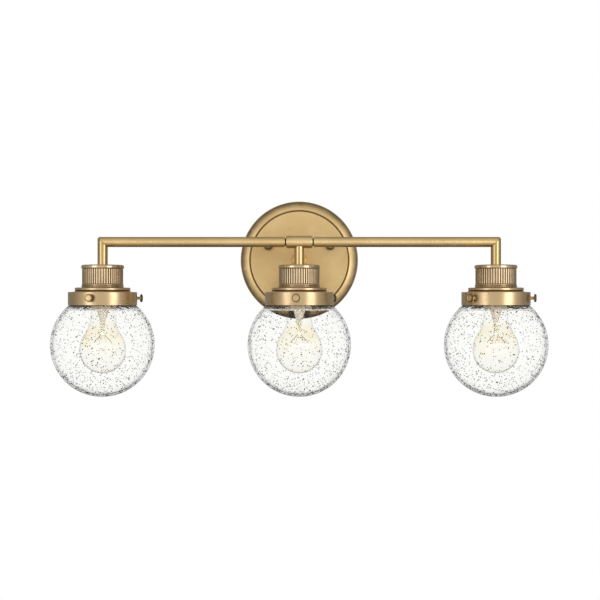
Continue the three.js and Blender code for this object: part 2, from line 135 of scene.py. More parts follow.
class Graph:
    """A node tree under construction."""

    def __init__(self, tree: bpy.types.NodeTree) -> None:
        """Start from an empty tree."""
        self.tree = tree
        tree.nodes.clear()

    def node(self, kind: str, settings: dict | None = None, values: dict | None = None,
             out: int | str = 0) -> Signal:
        """Add a node: its settings first, then the values or links of its sockets.

        Args:
            kind: the node's type name.
            settings: attributes such as operation.
            values: socket name or index to a number, a tuple or a signal.
            out: which output to return.

        Returns:
            The chosen output.
        """
        made = self.tree.nodes.new(kind)
        for key, value in (settings or {}).items():
            setattr(made, key, value)
        for key, value in (values or {}).items():
            socket = made.inputs[key]
            if isinstance(value, Signal):
                self.tree.links.new(value.socket, socket)
            elif isinstance(value, tuple) and socket.type == "RGBA":
                socket.default_value = (*value, 1.0)
            else:
                socket.default_value = value
        return Signal(self, made.outputs[out] if made.outputs else None)

    def place(self) -> Signal:
        """Position on the piece, in metres, in the row frame at rest."""
        return self.node("ShaderNodeTexCoord", out="Object")

    def split(self, vector: Signal) -> tuple[Signal, Signal, Signal]:
        """The three components of a vector."""
        parts = self.node("ShaderNodeSeparateXYZ", None, {0: vector})
        sockets = parts.socket.node.outputs
        return Signal(self, sockets[0]), Signal(self, sockets[1]), Signal(self, sockets[2])

    def join(self, x: object, y: object, z: object) -> Signal:
        """A vector from three components."""
        return self.node("ShaderNodeCombineXYZ", None, {0: x, 1: y, 2: z})

    def length(self, vector: Signal) -> Signal:
        """The length of a vector."""
        return self.node("ShaderNodeVectorMath", {"operation": "LENGTH"}, {0: vector}, "Value")

    def unit(self, vector: Signal) -> Signal:
        """A vector scaled to length 1."""
        return self.node("ShaderNodeVectorMath", {"operation": "NORMALIZE"}, {0: vector})

    def dot(self, first: Signal, second: tuple[float, float, float]) -> Signal:
        """The dot product of a vector with a fixed direction."""
        return self.node("ShaderNodeVectorMath", {"operation": "DOT_PRODUCT"},
                         {0: first, 1: second}, "Value")

    def larger(self, first: Signal, second: Signal) -> Signal:
        """The larger of two numbers."""
        return self.node("ShaderNodeMath", {"operation": "MAXIMUM"}, {0: first, 1: second})

    def clear(self, colour: tuple[float, float, float]) -> Signal:
        """A shader that lets light straight through, tinted."""
        return self.node("ShaderNodeBsdfTransparent", None, {"Color": colour})

    def bump(self, height: Signal, strength: float, distance: float) -> Signal:
        """A bumped normal.

        Args:
            height: the relief, around 0 to 1.
            strength: share of the bump that shows.
            distance: depth of the relief in metres.

        Returns:
            The normal.
        """
        return self.node("ShaderNodeBump", None,
                         {"Strength": strength, "Distance": distance, "Height": height})

    def principled(self, values: dict) -> Signal:
        """The general surface shader, from the values or links of its sockets."""
        return self.node("ShaderNodeBsdfPrincipled", None, values)

    def facing(self) -> Signal:
        """0 where the surface faces the viewer, 1 where it turns away."""
        return self.node("ShaderNodeLayerWeight", None, {"Blend": 0.5}, "Facing")

    def gloss_share(self, ior: float, shine: float) -> Signal:
        """How much a glass's outer side mirrors; none on its back and none in shadows.

        Args:
            ior: the glass's refractive index.
            shine: share of the full reflection.

        Returns:
            The factor, from 0 to 1.
        """
        fresnel = self.node("ShaderNodeFresnel", None, {"IOR": ior})
        front = 1.0 - self.node("ShaderNodeNewGeometry", out="Backfacing")
        return fresnel * front * self.lit() * shine

    def lit(self) -> Signal:
        """0 for shadow rays and 1 for all others."""
        return 1.0 - self.node("ShaderNodeLightPath", out="Is Shadow Ray")

    def grain(self, vector: Signal, detail: float = 2.0) -> Signal:
        """Smooth noise around 0.5.

        Args:
            vector: where to read it, already scaled.
            detail: number of finer layers.

        Returns:
            The noise value.
        """
        return self.node("ShaderNodeTexNoise", None,
                         {"Vector": vector, "Scale": 1.0, "Detail": detail})

    def step(self, value: Signal, low: float, high: float) -> Signal:
        """Smooth step from 0 at low to 1 at high."""
        return self.node("ShaderNodeMapRange", {"interpolation_type": "SMOOTHSTEP"},
                         {"Value": value, "From Min": low, "From Max": high})

    def blend(self, factor: object, first: object, second: object) -> Signal:
        """Mix two colours.

        Args:
            factor: share of the second colour.
            first: colour at 0.
            second: colour at 1.

        Returns:
            The mixed colour.
        """
        return self.node("ShaderNodeMix", {"data_type": "RGBA"}, {0: factor, 6: first, 7: second}, 2)

    def mix_shaders(self, factor: object, first: Signal, second: Signal) -> Signal:
        """Mix two shaders, the second by the factor."""
        return self.node("ShaderNodeMixShader", None, {0: factor, 1: first, 2: second})

    def surface(self, shader: Signal) -> None:
        """Send a shader to the material's or the world's output."""
        world = isinstance(self.tree.id_data, bpy.types.World)
        self.node("ShaderNodeOutputWorld" if world else "ShaderNodeOutputMaterial", None,
                  {"Surface": shader})


def new_material(name: str) -> tuple[bpy.types.Material, Graph]:
    """Make a named material and its empty graph."""
    material = bpy.data.materials.new(name)
    material.use_nodes = True
    return material, Graph(material.node_tree)


# ---------------------------------------------------------------------------------- finishes
class Lay(Enum):
    """Which way the fine polishing lines lie."""

    RINGS_ABOUT_X = "rings_about_x"
    RINGS_ABOUT_Y = "rings_about_y"
    RINGS_ABOUT_Z = "rings_about_z"
    EVEN = "even"


@dataclass(frozen=True)
class AgedBrass:
    """Brushed, aged and lacquered brass, darkened per point by patina and painted shade."""

    name: str
    lay: Lay
    base: Colour = (0.82, 0.58, 0.255)
    worn: Colour = (0.89, 0.65, 0.31)
    patina_and_shade_colour: Colour = (0.085, 0.055, 0.03)
    roughness: float = 0.36
    spread: float = 0.55
    lines: float = 7000.0

    def _lay_of(self, graph: Graph, place: Signal) -> tuple[Signal, object]:
        """Where to read the polishing lines, and the direction they scatter light in.

        Args:
            graph: the material's graph.
            place: position in metres.

        Returns:
            The scaled position, and the scatter direction as a signal or a tuple.
        """
        slow = 90.0
        if self.lay is Lay.RINGS_ABOUT_X:
            return place * (self.lines, slow, slow), (1.0, 0.0, 0.0)
        if self.lay is Lay.RINGS_ABOUT_Z:
            return place * (slow, slow, self.lines), (0.0, 0.0, 1.0)
        if self.lay is Lay.RINGS_ABOUT_Y:
            x, y, z = graph.split(place)
            flat = graph.join(x, 0.0, z)
            turn = graph.node("ShaderNodeMath", {"operation": "ARCTAN2"}, {0: z, 1: x})
            return graph.join(graph.length(flat) * self.lines, y * slow, turn * 3.0), graph.unit(flat)
        return place * (slow * 12, slow * 12, slow * 12), (0.3, 0.3, 0.3)

    def material(self) -> bpy.types.Material:
        """Build the material."""
        material, graph = new_material(self.name)
        place = graph.place()
        where, direction = self._lay_of(graph, place)
        lines = graph.grain(where, 3.0)
        clouds = graph.grain(place * 28.0, 4.0)
        rubbed = graph.grain(place * 140.0, 3.0)
        colour = graph.blend(graph.step(clouds, 0.38, 0.66), self.base, self.worn)
        # One attribute darkens towards one dark colour: patina in hollows, and painted shade in
        # recesses, under heads, round edges and across the reeds' flanks.
        shade_and_patina_level = graph.node("ShaderNodeAttribute", {"attribute_name": SHADE_AND_PATINA_ATTR}, out="Fac")
        dark = graph.step(shade_and_patina_level + (rubbed - 0.5) * 0.35 * shade_and_patina_level, 0.0, 1.0)
        specks = graph.step(graph.grain(place * 420.0, 2.0), 0.68, 0.78) * 0.25
        colour = graph.blend(specks, colour, self.patina_and_shade_colour)
        colour = graph.blend(dark * 0.92, colour, self.patina_and_shade_colour)
        roughness = self.roughness + (rubbed - 0.5) * 0.14 + (lines - 0.5) * 0.1 + dark * 0.2
        normal = graph.node("ShaderNodeNewGeometry", out="Normal")
        sway = (lines - 0.5) * self.spread
        scatter = graph.join(sway, sway, sway) * direction
        graph.surface(graph.principled({
            "Base Color": colour, "Metallic": 1.0, "Roughness": roughness,
            "Normal": graph.unit(normal + scatter), "Coat Weight": 0.3, "Coat Roughness": 0.2,
        }))
        return material


@dataclass(frozen=True)
class PlatedSteel:
    """Zinc-plated or painted steel hardware."""

    name: str
    base: Colour
    stained: Colour
    metallic: float = 1.0
    roughness: float = 0.38
    speckle: float = 900.0

    def material(self) -> bpy.types.Material:
        """Build the material."""
        material, graph = new_material(self.name)
        place = graph.place()
        clouds = graph.grain(place * 60.0, 4.0)
        speckle = graph.grain(place * self.speckle, 3.0)
        colour = graph.blend(graph.step(clouds, 0.35, 0.7), self.base, self.stained)
        bump = graph.bump(speckle, 0.25, 0.05 * MM)
        graph.surface(graph.principled({
            "Base Color": colour, "Metallic": self.metallic, "Normal": bump,
            "Roughness": self.roughness + (clouds - 0.5) * 0.3,
        }))
        return material


@dataclass(frozen=True)
class Porcelain:
    """Glazed porcelain of the sockets."""

    name: str = "socket_porcelain"
    glaze: Colour = (0.86, 0.72, 0.54)
    shade: Colour = (0.76, 0.61, 0.45)

    def material(self) -> bpy.types.Material:
        """Build the material."""
        material, graph = new_material(self.name)
        place = graph.place()
        clouds = graph.grain(place * 70.0, 3.0)
        peel = graph.grain(place * 500.0, 1.0)
        bump = graph.bump(peel, 0.15, 0.08 * MM)
        graph.surface(graph.principled({
            "Base Color": graph.blend(graph.step(clouds, 0.35, 0.7), self.glaze, self.shade),
            "Roughness": 0.26 + (clouds - 0.5) * 0.12, "Normal": bump,
            "Coat Weight": 0.6, "Coat Roughness": 0.08,
        }))
        return material


@dataclass(frozen=True)
class BlownGlass:
    """Clear blown glass: see-through, grey where it turns away and darker with painted shade towards
    the foot, and wavy only at the shoulder.
    """

    name: str
    shoulder: float
    foot: float
    tint: Colour = (0.998, 0.998, 0.992)
    edge: Colour = (0.76, 0.76, 0.76)
    painted_shade_grey: Colour = (0.47, 0.47, 0.465)
    ripple: float = 0.35
    shine: float = 0.35
    ior: float = 1.5
    shaded_foot_band: float = 34 * MM

    def material(self) -> bpy.types.Material:
        """Build the material."""
        material, graph = new_material(self.name)
        place = graph.place()
        _, _, height = graph.split(place)
        waves = graph.grain(place * 45.0, 2.0) + graph.grain(place * 210.0, 2.0) * 2.5
        bump = graph.bump(waves, self.ripple, 0.6 * MM)
        wavy = graph.principled({
            "Base Color": self.tint, "Roughness": 0.0, "IOR": self.ior,
            "Transmission Weight": 1.0, "Normal": bump,
        })
        gloss = graph.node("ShaderNodeBsdfGlossy", None, {"Color": WHITE, "Roughness": 0.03})
        # Painted shade: the rim's grey turns darker towards the foot of the globe.
        low = graph.step(height, self.foot + self.shaded_foot_band, self.foot)
        rim = graph.mix_shaders(low, graph.clear(self.edge), graph.clear(self.painted_shade_grey))
        drift = (graph.grain(place * 70.0, 2.0) - 0.5) * 0.25
        turned_away = graph.step(graph.facing() + drift, 0.62, 1.0)
        wall = graph.mix_shaders(turned_away, graph.clear(self.tint), rim)
        thin = graph.mix_shaders(graph.gloss_share(self.ior, self.shine), wall, gloss)
        above = graph.step(height, self.shoulder - 1.0 * MM, self.shoulder + 1.0 * MM)
        graph.surface(graph.mix_shaders(above * graph.lit(), thin, wavy))
        return material


@dataclass(frozen=True)
class SeedFinish:
    """The skin of a small air bubble in glass: clear in the middle and dark at its rim."""

    name: str = "glass_seeds"
    middle: Colour = (0.90, 0.90, 0.90)
    rim: Colour = (0.30, 0.30, 0.30)

    def material(self) -> bpy.types.Material:
        """Build the material."""
        material, graph = new_material(self.name)
        depth = graph.grain(graph.place() * 900.0, 1.0)
        factor = graph.step(graph.facing() + (depth - 0.5) * 0.5, -0.15, 0.35)
        graph.surface(graph.mix_shaders(factor, graph.clear(self.middle), graph.clear(self.rim)))
        return material


@dataclass(frozen=True)
class LampGlass:
    """Thin lamp glass: see-through, with a painted warm glow round the filament, and grey where it
    turns away, darker with painted shade below it.
    """

    name: str
    glow: Vector
    painted_glow_tint: Colour = (1.0, 0.975, 0.90)
    cream: Colour = (1.0, 0.998, 0.988)
    edge: Colour = (0.93, 0.925, 0.915)
    painted_shade_grey: Colour = (0.72, 0.715, 0.70)

    def material(self) -> bpy.types.Material:
        """Build the material."""
        material, graph = new_material(self.name)
        from_glow = graph.place() - tuple(self.glow)
        away = graph.length(from_glow)
        _, _, rise = graph.split(from_glow)
        clouds = graph.grain(graph.place() * 60.0, 2.0)
        # Painted shade: the rim's grey turns darker below the filament.
        low = graph.step(rise, -14 * MM, -24 * MM)
        rim = graph.mix_shaders(low, graph.clear(self.edge), graph.clear(self.painted_shade_grey))
        gloss = graph.node("ShaderNodeBsdfGlossy", None, {"Color": WHITE, "Roughness": 0.02})
        # Painted glow: a warm tint round the filament stands in for its light.
        painted_glow_mask = graph.step(away + (clouds - 0.5) * 0.02, 31 * MM, 20 * MM)
        middle = graph.mix_shaders(painted_glow_mask, graph.clear(self.cream), graph.clear(self.painted_glow_tint))
        body = graph.mix_shaders(graph.step(graph.facing(), 0.70, 0.93), middle, rim)
        graph.surface(graph.mix_shaders(graph.gloss_share(1.45, 0.5), body, gloss))
        return material


@dataclass(frozen=True)
class PressGlass:
    """Thick pinched glass of a lamp's inner stem, milky where the wires go through it."""

    name: str = "pinched_lamp_glass"
    milky: Colour = (0.97, 0.95, 0.90)
    cloudy: Colour = (0.86, 0.83, 0.76)

    def material(self) -> bpy.types.Material:
        """Build the material."""
        material, graph = new_material(self.name)
        folds = graph.grain(graph.place() * 500.0, 2.0)
        graph.surface(graph.principled({
            "Base Color": graph.blend(graph.step(folds, 0.4, 0.65), self.milky, self.cloudy),
            "Roughness": 0.08, "IOR": 1.3, "Transmission Weight": 0.35,
        }))
        return material


@dataclass(frozen=True)
class Glow:
    """A lit filament."""

    name: str = "lit_filament"
    colour: Colour = (1.0, 0.62, 0.20)
    hot: Colour = (1.0, 0.80, 0.42)
    wire: Colour = (0.5, 0.35, 0.2)
    strength: float = 3.0

    def material(self) -> bpy.types.Material:
        """Build the material."""
        material, graph = new_material(self.name)
        heat = graph.grain(graph.place() * 400.0, 2.0)
        colour = graph.blend(graph.step(heat, 0.3, 0.7), self.colour, self.hot)
        graph.surface(graph.principled({
            "Base Color": self.wire, "Roughness": 0.5,
            "Emission Color": colour, "Emission Strength": self.strength,
        }))
        return material


@dataclass(frozen=True)
class PaleFloor:
    """Matt pale paper."""

    name: str = "pale_floor"
    paper: Colour = (0.90, 0.90, 0.90)
    fleck: Colour = (0.84, 0.84, 0.84)

    def material(self) -> bpy.types.Material:
        """Build the material."""
        material, graph = new_material(self.name)
        fibre = graph.grain(graph.place() * 30.0, 3.0)
        colour = graph.blend(fibre * 0.3, self.paper, self.fleck)
        graph.surface(graph.principled({"Base Color": colour, "Roughness": 0.85}))
        return material


# ---------------------------------------------------------------------------------- mesh tools
@dataclass(frozen=True)
class Axis:
    """A turning axis: where height 0 is, which way height grows, and where angle 0 points."""

    origin: Vector
    along: Vector
    zero: Vector

    def place(self, r: float, h: float, angle: float) -> Vector:
        """A point in metres from a radius and a height in millimetres and an angle."""
        side = self.along.cross(self.zero)
        out = self.zero * math.cos(angle) + side * math.sin(angle)
        return self.origin + self.along * (h * MM) + out * (r * MM)


UP = Vector((0, 0, 1))
FRONT = Vector((0, -1, 0))
RIGHT = Vector((1, 0, 0))
BAR_AXIS = FRONT * (REACH * MM) + UP * (RISE * MM)


def rounded(corners: Sequence[Corner], steps: int = 4) -> list[Point]:
    """Round the corners of a turned outline.

    Args:
        corners: radius, height and fillet of each corner, in order round the outline.
        steps: number of chords in each fillet.

    Returns:
        Radius and height of each point.
    """
    points: list[Point] = []
    count = len(corners)
    for i, (r, h, fillet) in enumerate(corners):
        here = Vector((r, h))
        back = Vector(corners[i - 1][:2]) - here
        on = Vector(corners[(i + 1) % count][:2]) - here
        half = back.angle(on, 0) / 2 if fillet > 0 and back.length > 0 and on.length > 0 else 0
        if fillet <= 0 or half < 0.02 or half > math.pi / 2 - 0.02:
            points.append((r, h))
            continue
        reach = min(fillet / math.tan(half), 0.48 * back.length, 0.48 * on.length)
        radius = reach * math.tan(half)
        bisector = (back.normalized() + on.normalized()).normalized()
        centre = here + bisector * (reach / math.cos(half))
        start = here + back.normalized() * reach - centre
        end = here + on.normalized() * reach - centre
        sweep = start.angle_signed(end)
        for k in range(steps + 1):
            spoke = start.copy()
            spoke.rotate(Matrix.Rotation(-sweep * k / steps, 2))
            points.append(tuple(centre + spoke.normalized() * radius))
    return points


def closer(points: Sequence[Point], low: float, high: float, longest: float,
           least_r: float = 0.0) -> list[Point]:
    """Add points so that no step is longer than a limit between two heights.

    Args:
        points: the outline, closed on itself.
        low: lower height.
        high: upper height.
        longest: longest step allowed there.
        least_r: only where both ends of the step lie further from the axis than this.

    Returns:
        The outline with the added points.
    """
    filled: list[Point] = []
    for i, (r, h) in enumerate(points):
        filled.append((r, h))
        nr, nh = points[(i + 1) % len(points)]
        inside = min(h, nh) >= low - 1e-6 and max(h, nh) <= high + 1e-6
        pieces = math.ceil(math.hypot(nr - r, nh - h) / longest)
        if inside and pieces > 1 and min(r, nr) >= least_r:
            filled += [(r + (nr - r) * k / pieces, h + (nh - h) * k / pieces)
                       for k in range(1, pieces)]
    return filled


def mesh_object(name: str, points: Sequence[Vector], faces: Sequence[Sequence[int]],
                crease: float = 38.0, weighted: bool = True,
                shade_and_patina_levels: Sequence[float] | None = None) -> bpy.types.Object:
    """Make a smooth-shaded object from points and faces.

    Args:
        name: the piece's name.
        points: positions in metres.
        faces: point numbers of each face.
        crease: edges sharper than this many degrees stay sharp.
        weighted: shade by face area, which keeps broad faces flat.
        shade_and_patina_levels: how dark each point is with patina and painted shade, from 0 to 1.

    Returns:
        The object.
    """
    mesh = bpy.data.meshes.new(name)
    mesh.from_pydata([tuple(p) for p in points], [], [tuple(f) for f in faces])
    if shade_and_patina_levels is not None:
        mesh.attributes.new(SHADE_AND_PATINA_ATTR, "FLOAT", "POINT").data.foreach_set("value", shade_and_patina_levels)
    shaped = bmesh.new()
    shaped.from_mesh(mesh)
    bmesh.ops.remove_doubles(shaped, verts=shaped.verts, dist=1e-7)
    bmesh.ops.recalc_face_normals(shaped, faces=shaped.faces)
    shaped.to_mesh(mesh)
    shaped.free()
    mesh.polygons.foreach_set("use_smooth", [True] * len(mesh.polygons))
    mesh.set_sharp_from_angle(angle=math.radians(crease))
    made = bpy.data.objects.new(name, mesh)
    bpy.context.scene.collection.objects.link(made)
    if weighted:
        modifier = made.modifiers.new("broad_faces_flat", "WEIGHTED_NORMAL")
        modifier.keep_sharp = True
    return made


def ring_faces(rings: Sequence[Sequence[int]], closed: bool) -> list[list[int]]:
    """Faces between rings of points, where a ring of one point is a pole.

    Args:
        rings: point numbers of each ring.
        closed: True to join the last ring to the first.

    Returns:
        The faces.
    """
    faces = []
    for i in range(len(rings) if closed else len(rings) - 1):
        low, high = rings[i], rings[(i + 1) % len(rings)]
        sides = max(len(low), len(high))
        for k in range(sides if sides > 1 else 0):
            n = (k + 1) % sides
            if len(low) == 1:
                faces.append([low[0], high[n], high[k]])
            elif len(high) == 1:
                faces.append([low[k], low[n], high[0]])
            else:
                faces.append([low[k], low[n], high[n], high[k]])
    return faces


def turned(name: str, outline: Sequence[Point], axis: Axis, sides: int = 96,
           ripple: Ripple | None = None, crease: float = 38.0, weighted: bool = True,
           age: Ripple | None = None) -> bpy.types.Object:
    """Turn an outline about an axis.

    Args:
        name: the piece's name.
        outline: radius and height of each point; closed on itself unless it ends on the axis.
        axis: the turning axis.
        sides: points round the axis.
        ripple: changes a point's radius from its radius, height and angle.
        crease: edges sharper than this many degrees stay sharp.
        weighted: shade by face area.
        age: how dark a point is with patina and painted shade, from its radius, height and angle.

    Returns:
        The object.
    """
    points: list[Vector] = []
    shade_and_patina_levels: list[float] = []
    rings: list[list[int]] = []
    for r, h in outline:
        count = sides if r > 1e-6 else 1
        rings.append(list(range(len(points), len(points) + count)))
        for k in range(count):
            angle = TURN * k / count
            points.append(axis.place(ripple(r, h, angle) if ripple and r > 1e-6 else r, h, angle))
            shade_and_patina_levels.append(age(r, h, angle) if age else 0.0)
    closed = not (outline[0][0] < 1e-6 and outline[-1][0] < 1e-6)
    faces = ring_faces(rings, closed)
    return mesh_object(name, points, faces, crease, weighted, shade_and_patina_levels if age else None)


def tube(name: str, axis: Axis, outer: float, bore: float, start: EndShape, end: EndShape,
         sides: int = 64, edge: float = 0.25) -> bpy.types.Object:
    """A straight tube whose two ends follow any shape.

    Args:
        name: the piece's name.
        axis: the tube's axis.
        outer: outer radius in millimetres.
        bore: inner radius.
        start: height of the start from the sideways position across the axis.
        end: height of the end, in the same way.
        sides: points round the tube.
        edge: rounding of the outer edge at each end.

    Returns:
        The object.
    """
    quarter = [math.pi / 2 * k / 3 for k in range(4)]
    loop = [(bore, False, 0.0)]
    loop += [(outer - edge * (1 - math.sin(a)), False, edge * (1 - math.cos(a))) for a in quarter]
    loop += [(outer - edge * (1 - math.cos(a)), True, -edge * (1 - math.sin(a))) for a in quarter]
    loop += [(bore, True, 0.0)]
    points: list[Vector] = []
    rings: list[list[int]] = []
    for r, at_end, offset in loop:
        rings.append(list(range(len(points), len(points) + sides)))
        for k in range(sides):
            angle = TURN * k / sides
            x, y = r * math.cos(angle), r * math.sin(angle)
            points.append(axis.place(r, (end if at_end else start)(x, y) + offset, angle))
    return mesh_object(name, points, ring_faces(rings, True))


def wire(name: str, path: Sequence[Vector], radius: float, sides: int = 8) -> bpy.types.Object:
    """A round wire along a path, closed at both ends.

    Args:
        name: the piece's name.
        path: points in metres.
        radius: in millimetres.
        sides: points round the wire.

    Returns:
        The object.
    """
    points: list[Vector] = [path[0]]
    rings: list[list[int]] = [[0]]
    across = Vector((0.0, 1.0, 0.0))
    for i, here in enumerate(path):
        ahead = (path[min(i + 1, len(path) - 1)] - path[max(i - 1, 0)]).normalized()
        across = (across - ahead * across.dot(ahead)).normalized()
        side = ahead.cross(across)
        rings.append(list(range(len(points), len(points) + sides)))
        for k in range(sides):
            a = TURN * k / sides
            points.append(here + (across * math.cos(a) + side * math.sin(a)) * (radius * MM))
    rings.append([len(points)])
    points.append(path[-1])
    return mesh_object(name, points, ring_faces(rings, False))


def smooth_path(knots: Sequence[Vector], steps: int) -> list[Vector]:
    """A Catmull-Rom curve through knots.

    Args:
        knots: points to pass through.
        steps: chords between two knots.

    Returns:
        Points on the curve.
    """
    ends = [knots[0] * 2 - knots[1], *knots, knots[-1] * 2 - knots[-2]]
    path = []
    for i in range(1, len(ends) - 2):
        a, b, c, d = ends[i - 1:i + 3]
        for k in range(steps):
            t = k / steps
            path.append(0.5 * (2 * b + (c - a) * t + (2 * a - 5 * b + 4 * c - d) * t * t
                               + (3 * b - a - 3 * c + d) * t ** 3))
    path.append(knots[-1].copy())
    return path


def thread(major: float, depth: float, pitch: float, low: float, high: float) -> Ripple:
    """A screw thread as a ripple on the surface of one radius.

    Args:
        major: radius of the surface that carries it.
        depth: how deep it goes.
        pitch: height of one turn.
        low: height where it starts.
        high: height where it ends.

    Returns:
        The ripple.
    """
    def ripple(r: float, h: float, angle: float) -> float:
        """Radius with the thread cut in."""
        if abs(r - major) > 0.02 or not low < h < high:
            return r
        fade = min(1.0, (h - low) / pitch, (high - h) / pitch)
        wave = 0.5 - 0.5 * math.cos(TURN * (h / pitch - angle / TURN))
        return r - depth * wave * fade
    return ripple


def fit(made: bpy.types.Object, material: bpy.types.Material, body: str, slot: str,
        *nodes: str) -> None:
    """Dress a piece, put it on its body and let it stand for its nodes.

    Args:
        made: the piece.
        material: its finish.
        body: the body it moves with.
        slot: the record's material slot; not used.
        nodes: the nodes it stands for.
    """
    made.data.materials.clear()
    made.data.materials.append(material)
    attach(made, body)
    if nodes:
        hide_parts(*nodes)
    log.info("%s rides on %s: %d faces", made.name, body, len(made.data.polygons))


def cut_plate(name: str, rings: Sequence[Sequence[Point]], thickness: float, back: float,
              edge: float) -> bpy.types.Object:
    """A flat plate in the wall plane with holes and softened edges.

    Args:
        name: the piece's name.
        rings: the outline and the holes, as X and Z in millimetres.
        thickness: in millimetres.
        back: distance of its back from the wall.
        edge: bevel of its edges.

    Returns:
        The object.
    """
    curve = bpy.data.curves.new(name, "CURVE")
    curve.dimensions = "2D"
    curve.fill_mode = "BOTH"
    curve.extrude = (thickness / 2 - edge) * MM
    curve.bevel_depth = edge * MM
    curve.bevel_resolution = 2
    curve.offset = -edge * MM
    for ring in rings:
        spline = curve.splines.new("POLY")
        spline.points.add(len(ring) - 1)
        spline.use_cyclic_u = True
        for point, (x, z) in zip(spline.points, ring):
            point.co = (x * MM, z * MM, 0, 1)
    drawn = bpy.data.objects.new(name + "_outline", curve)
    bpy.context.scene.collection.objects.link(drawn)
    bpy.context.view_layer.update()
    flat = bpy.data.meshes.new_from_object(drawn.evaluated_get(bpy.context.evaluated_depsgraph_get()))
    middle = -(back + thickness / 2) * MM
    flat.transform(Matrix.Translation((0, middle, 0)) @ Matrix.Rotation(math.pi / 2, 4, "X"))
    points = [v.co.copy() for v in flat.vertices]
    faces = [list(p.vertices) for p in flat.polygons]
    bpy.data.objects.remove(drawn)
    bpy.data.meshes.remove(flat)
    return mesh_object(name, points, faces)


def circle(x: float, z: float, r: float, sides: int = 48) -> list[Point]:
    """Points of a circle."""
    angles = [TURN * k / sides for k in range(sides)]
    return [(x + r * math.cos(a), z + r * math.sin(a)) for a in angles]


def slot_outline(low: float, high: float, r: float, sides: int = 12) -> list[Point]:
    """Points of a slot with round ends that lies along X."""
    right = [(high - r + r * math.cos(a), r * math.sin(a))
             for a in (math.pi * (k / sides - 0.5) for k in range(sides + 1))]
    left = [(low + r + r * math.cos(a), r * math.sin(a))
            for a in (math.pi * (k / sides + 0.5) for k in range(sides + 1))]
    return right + left


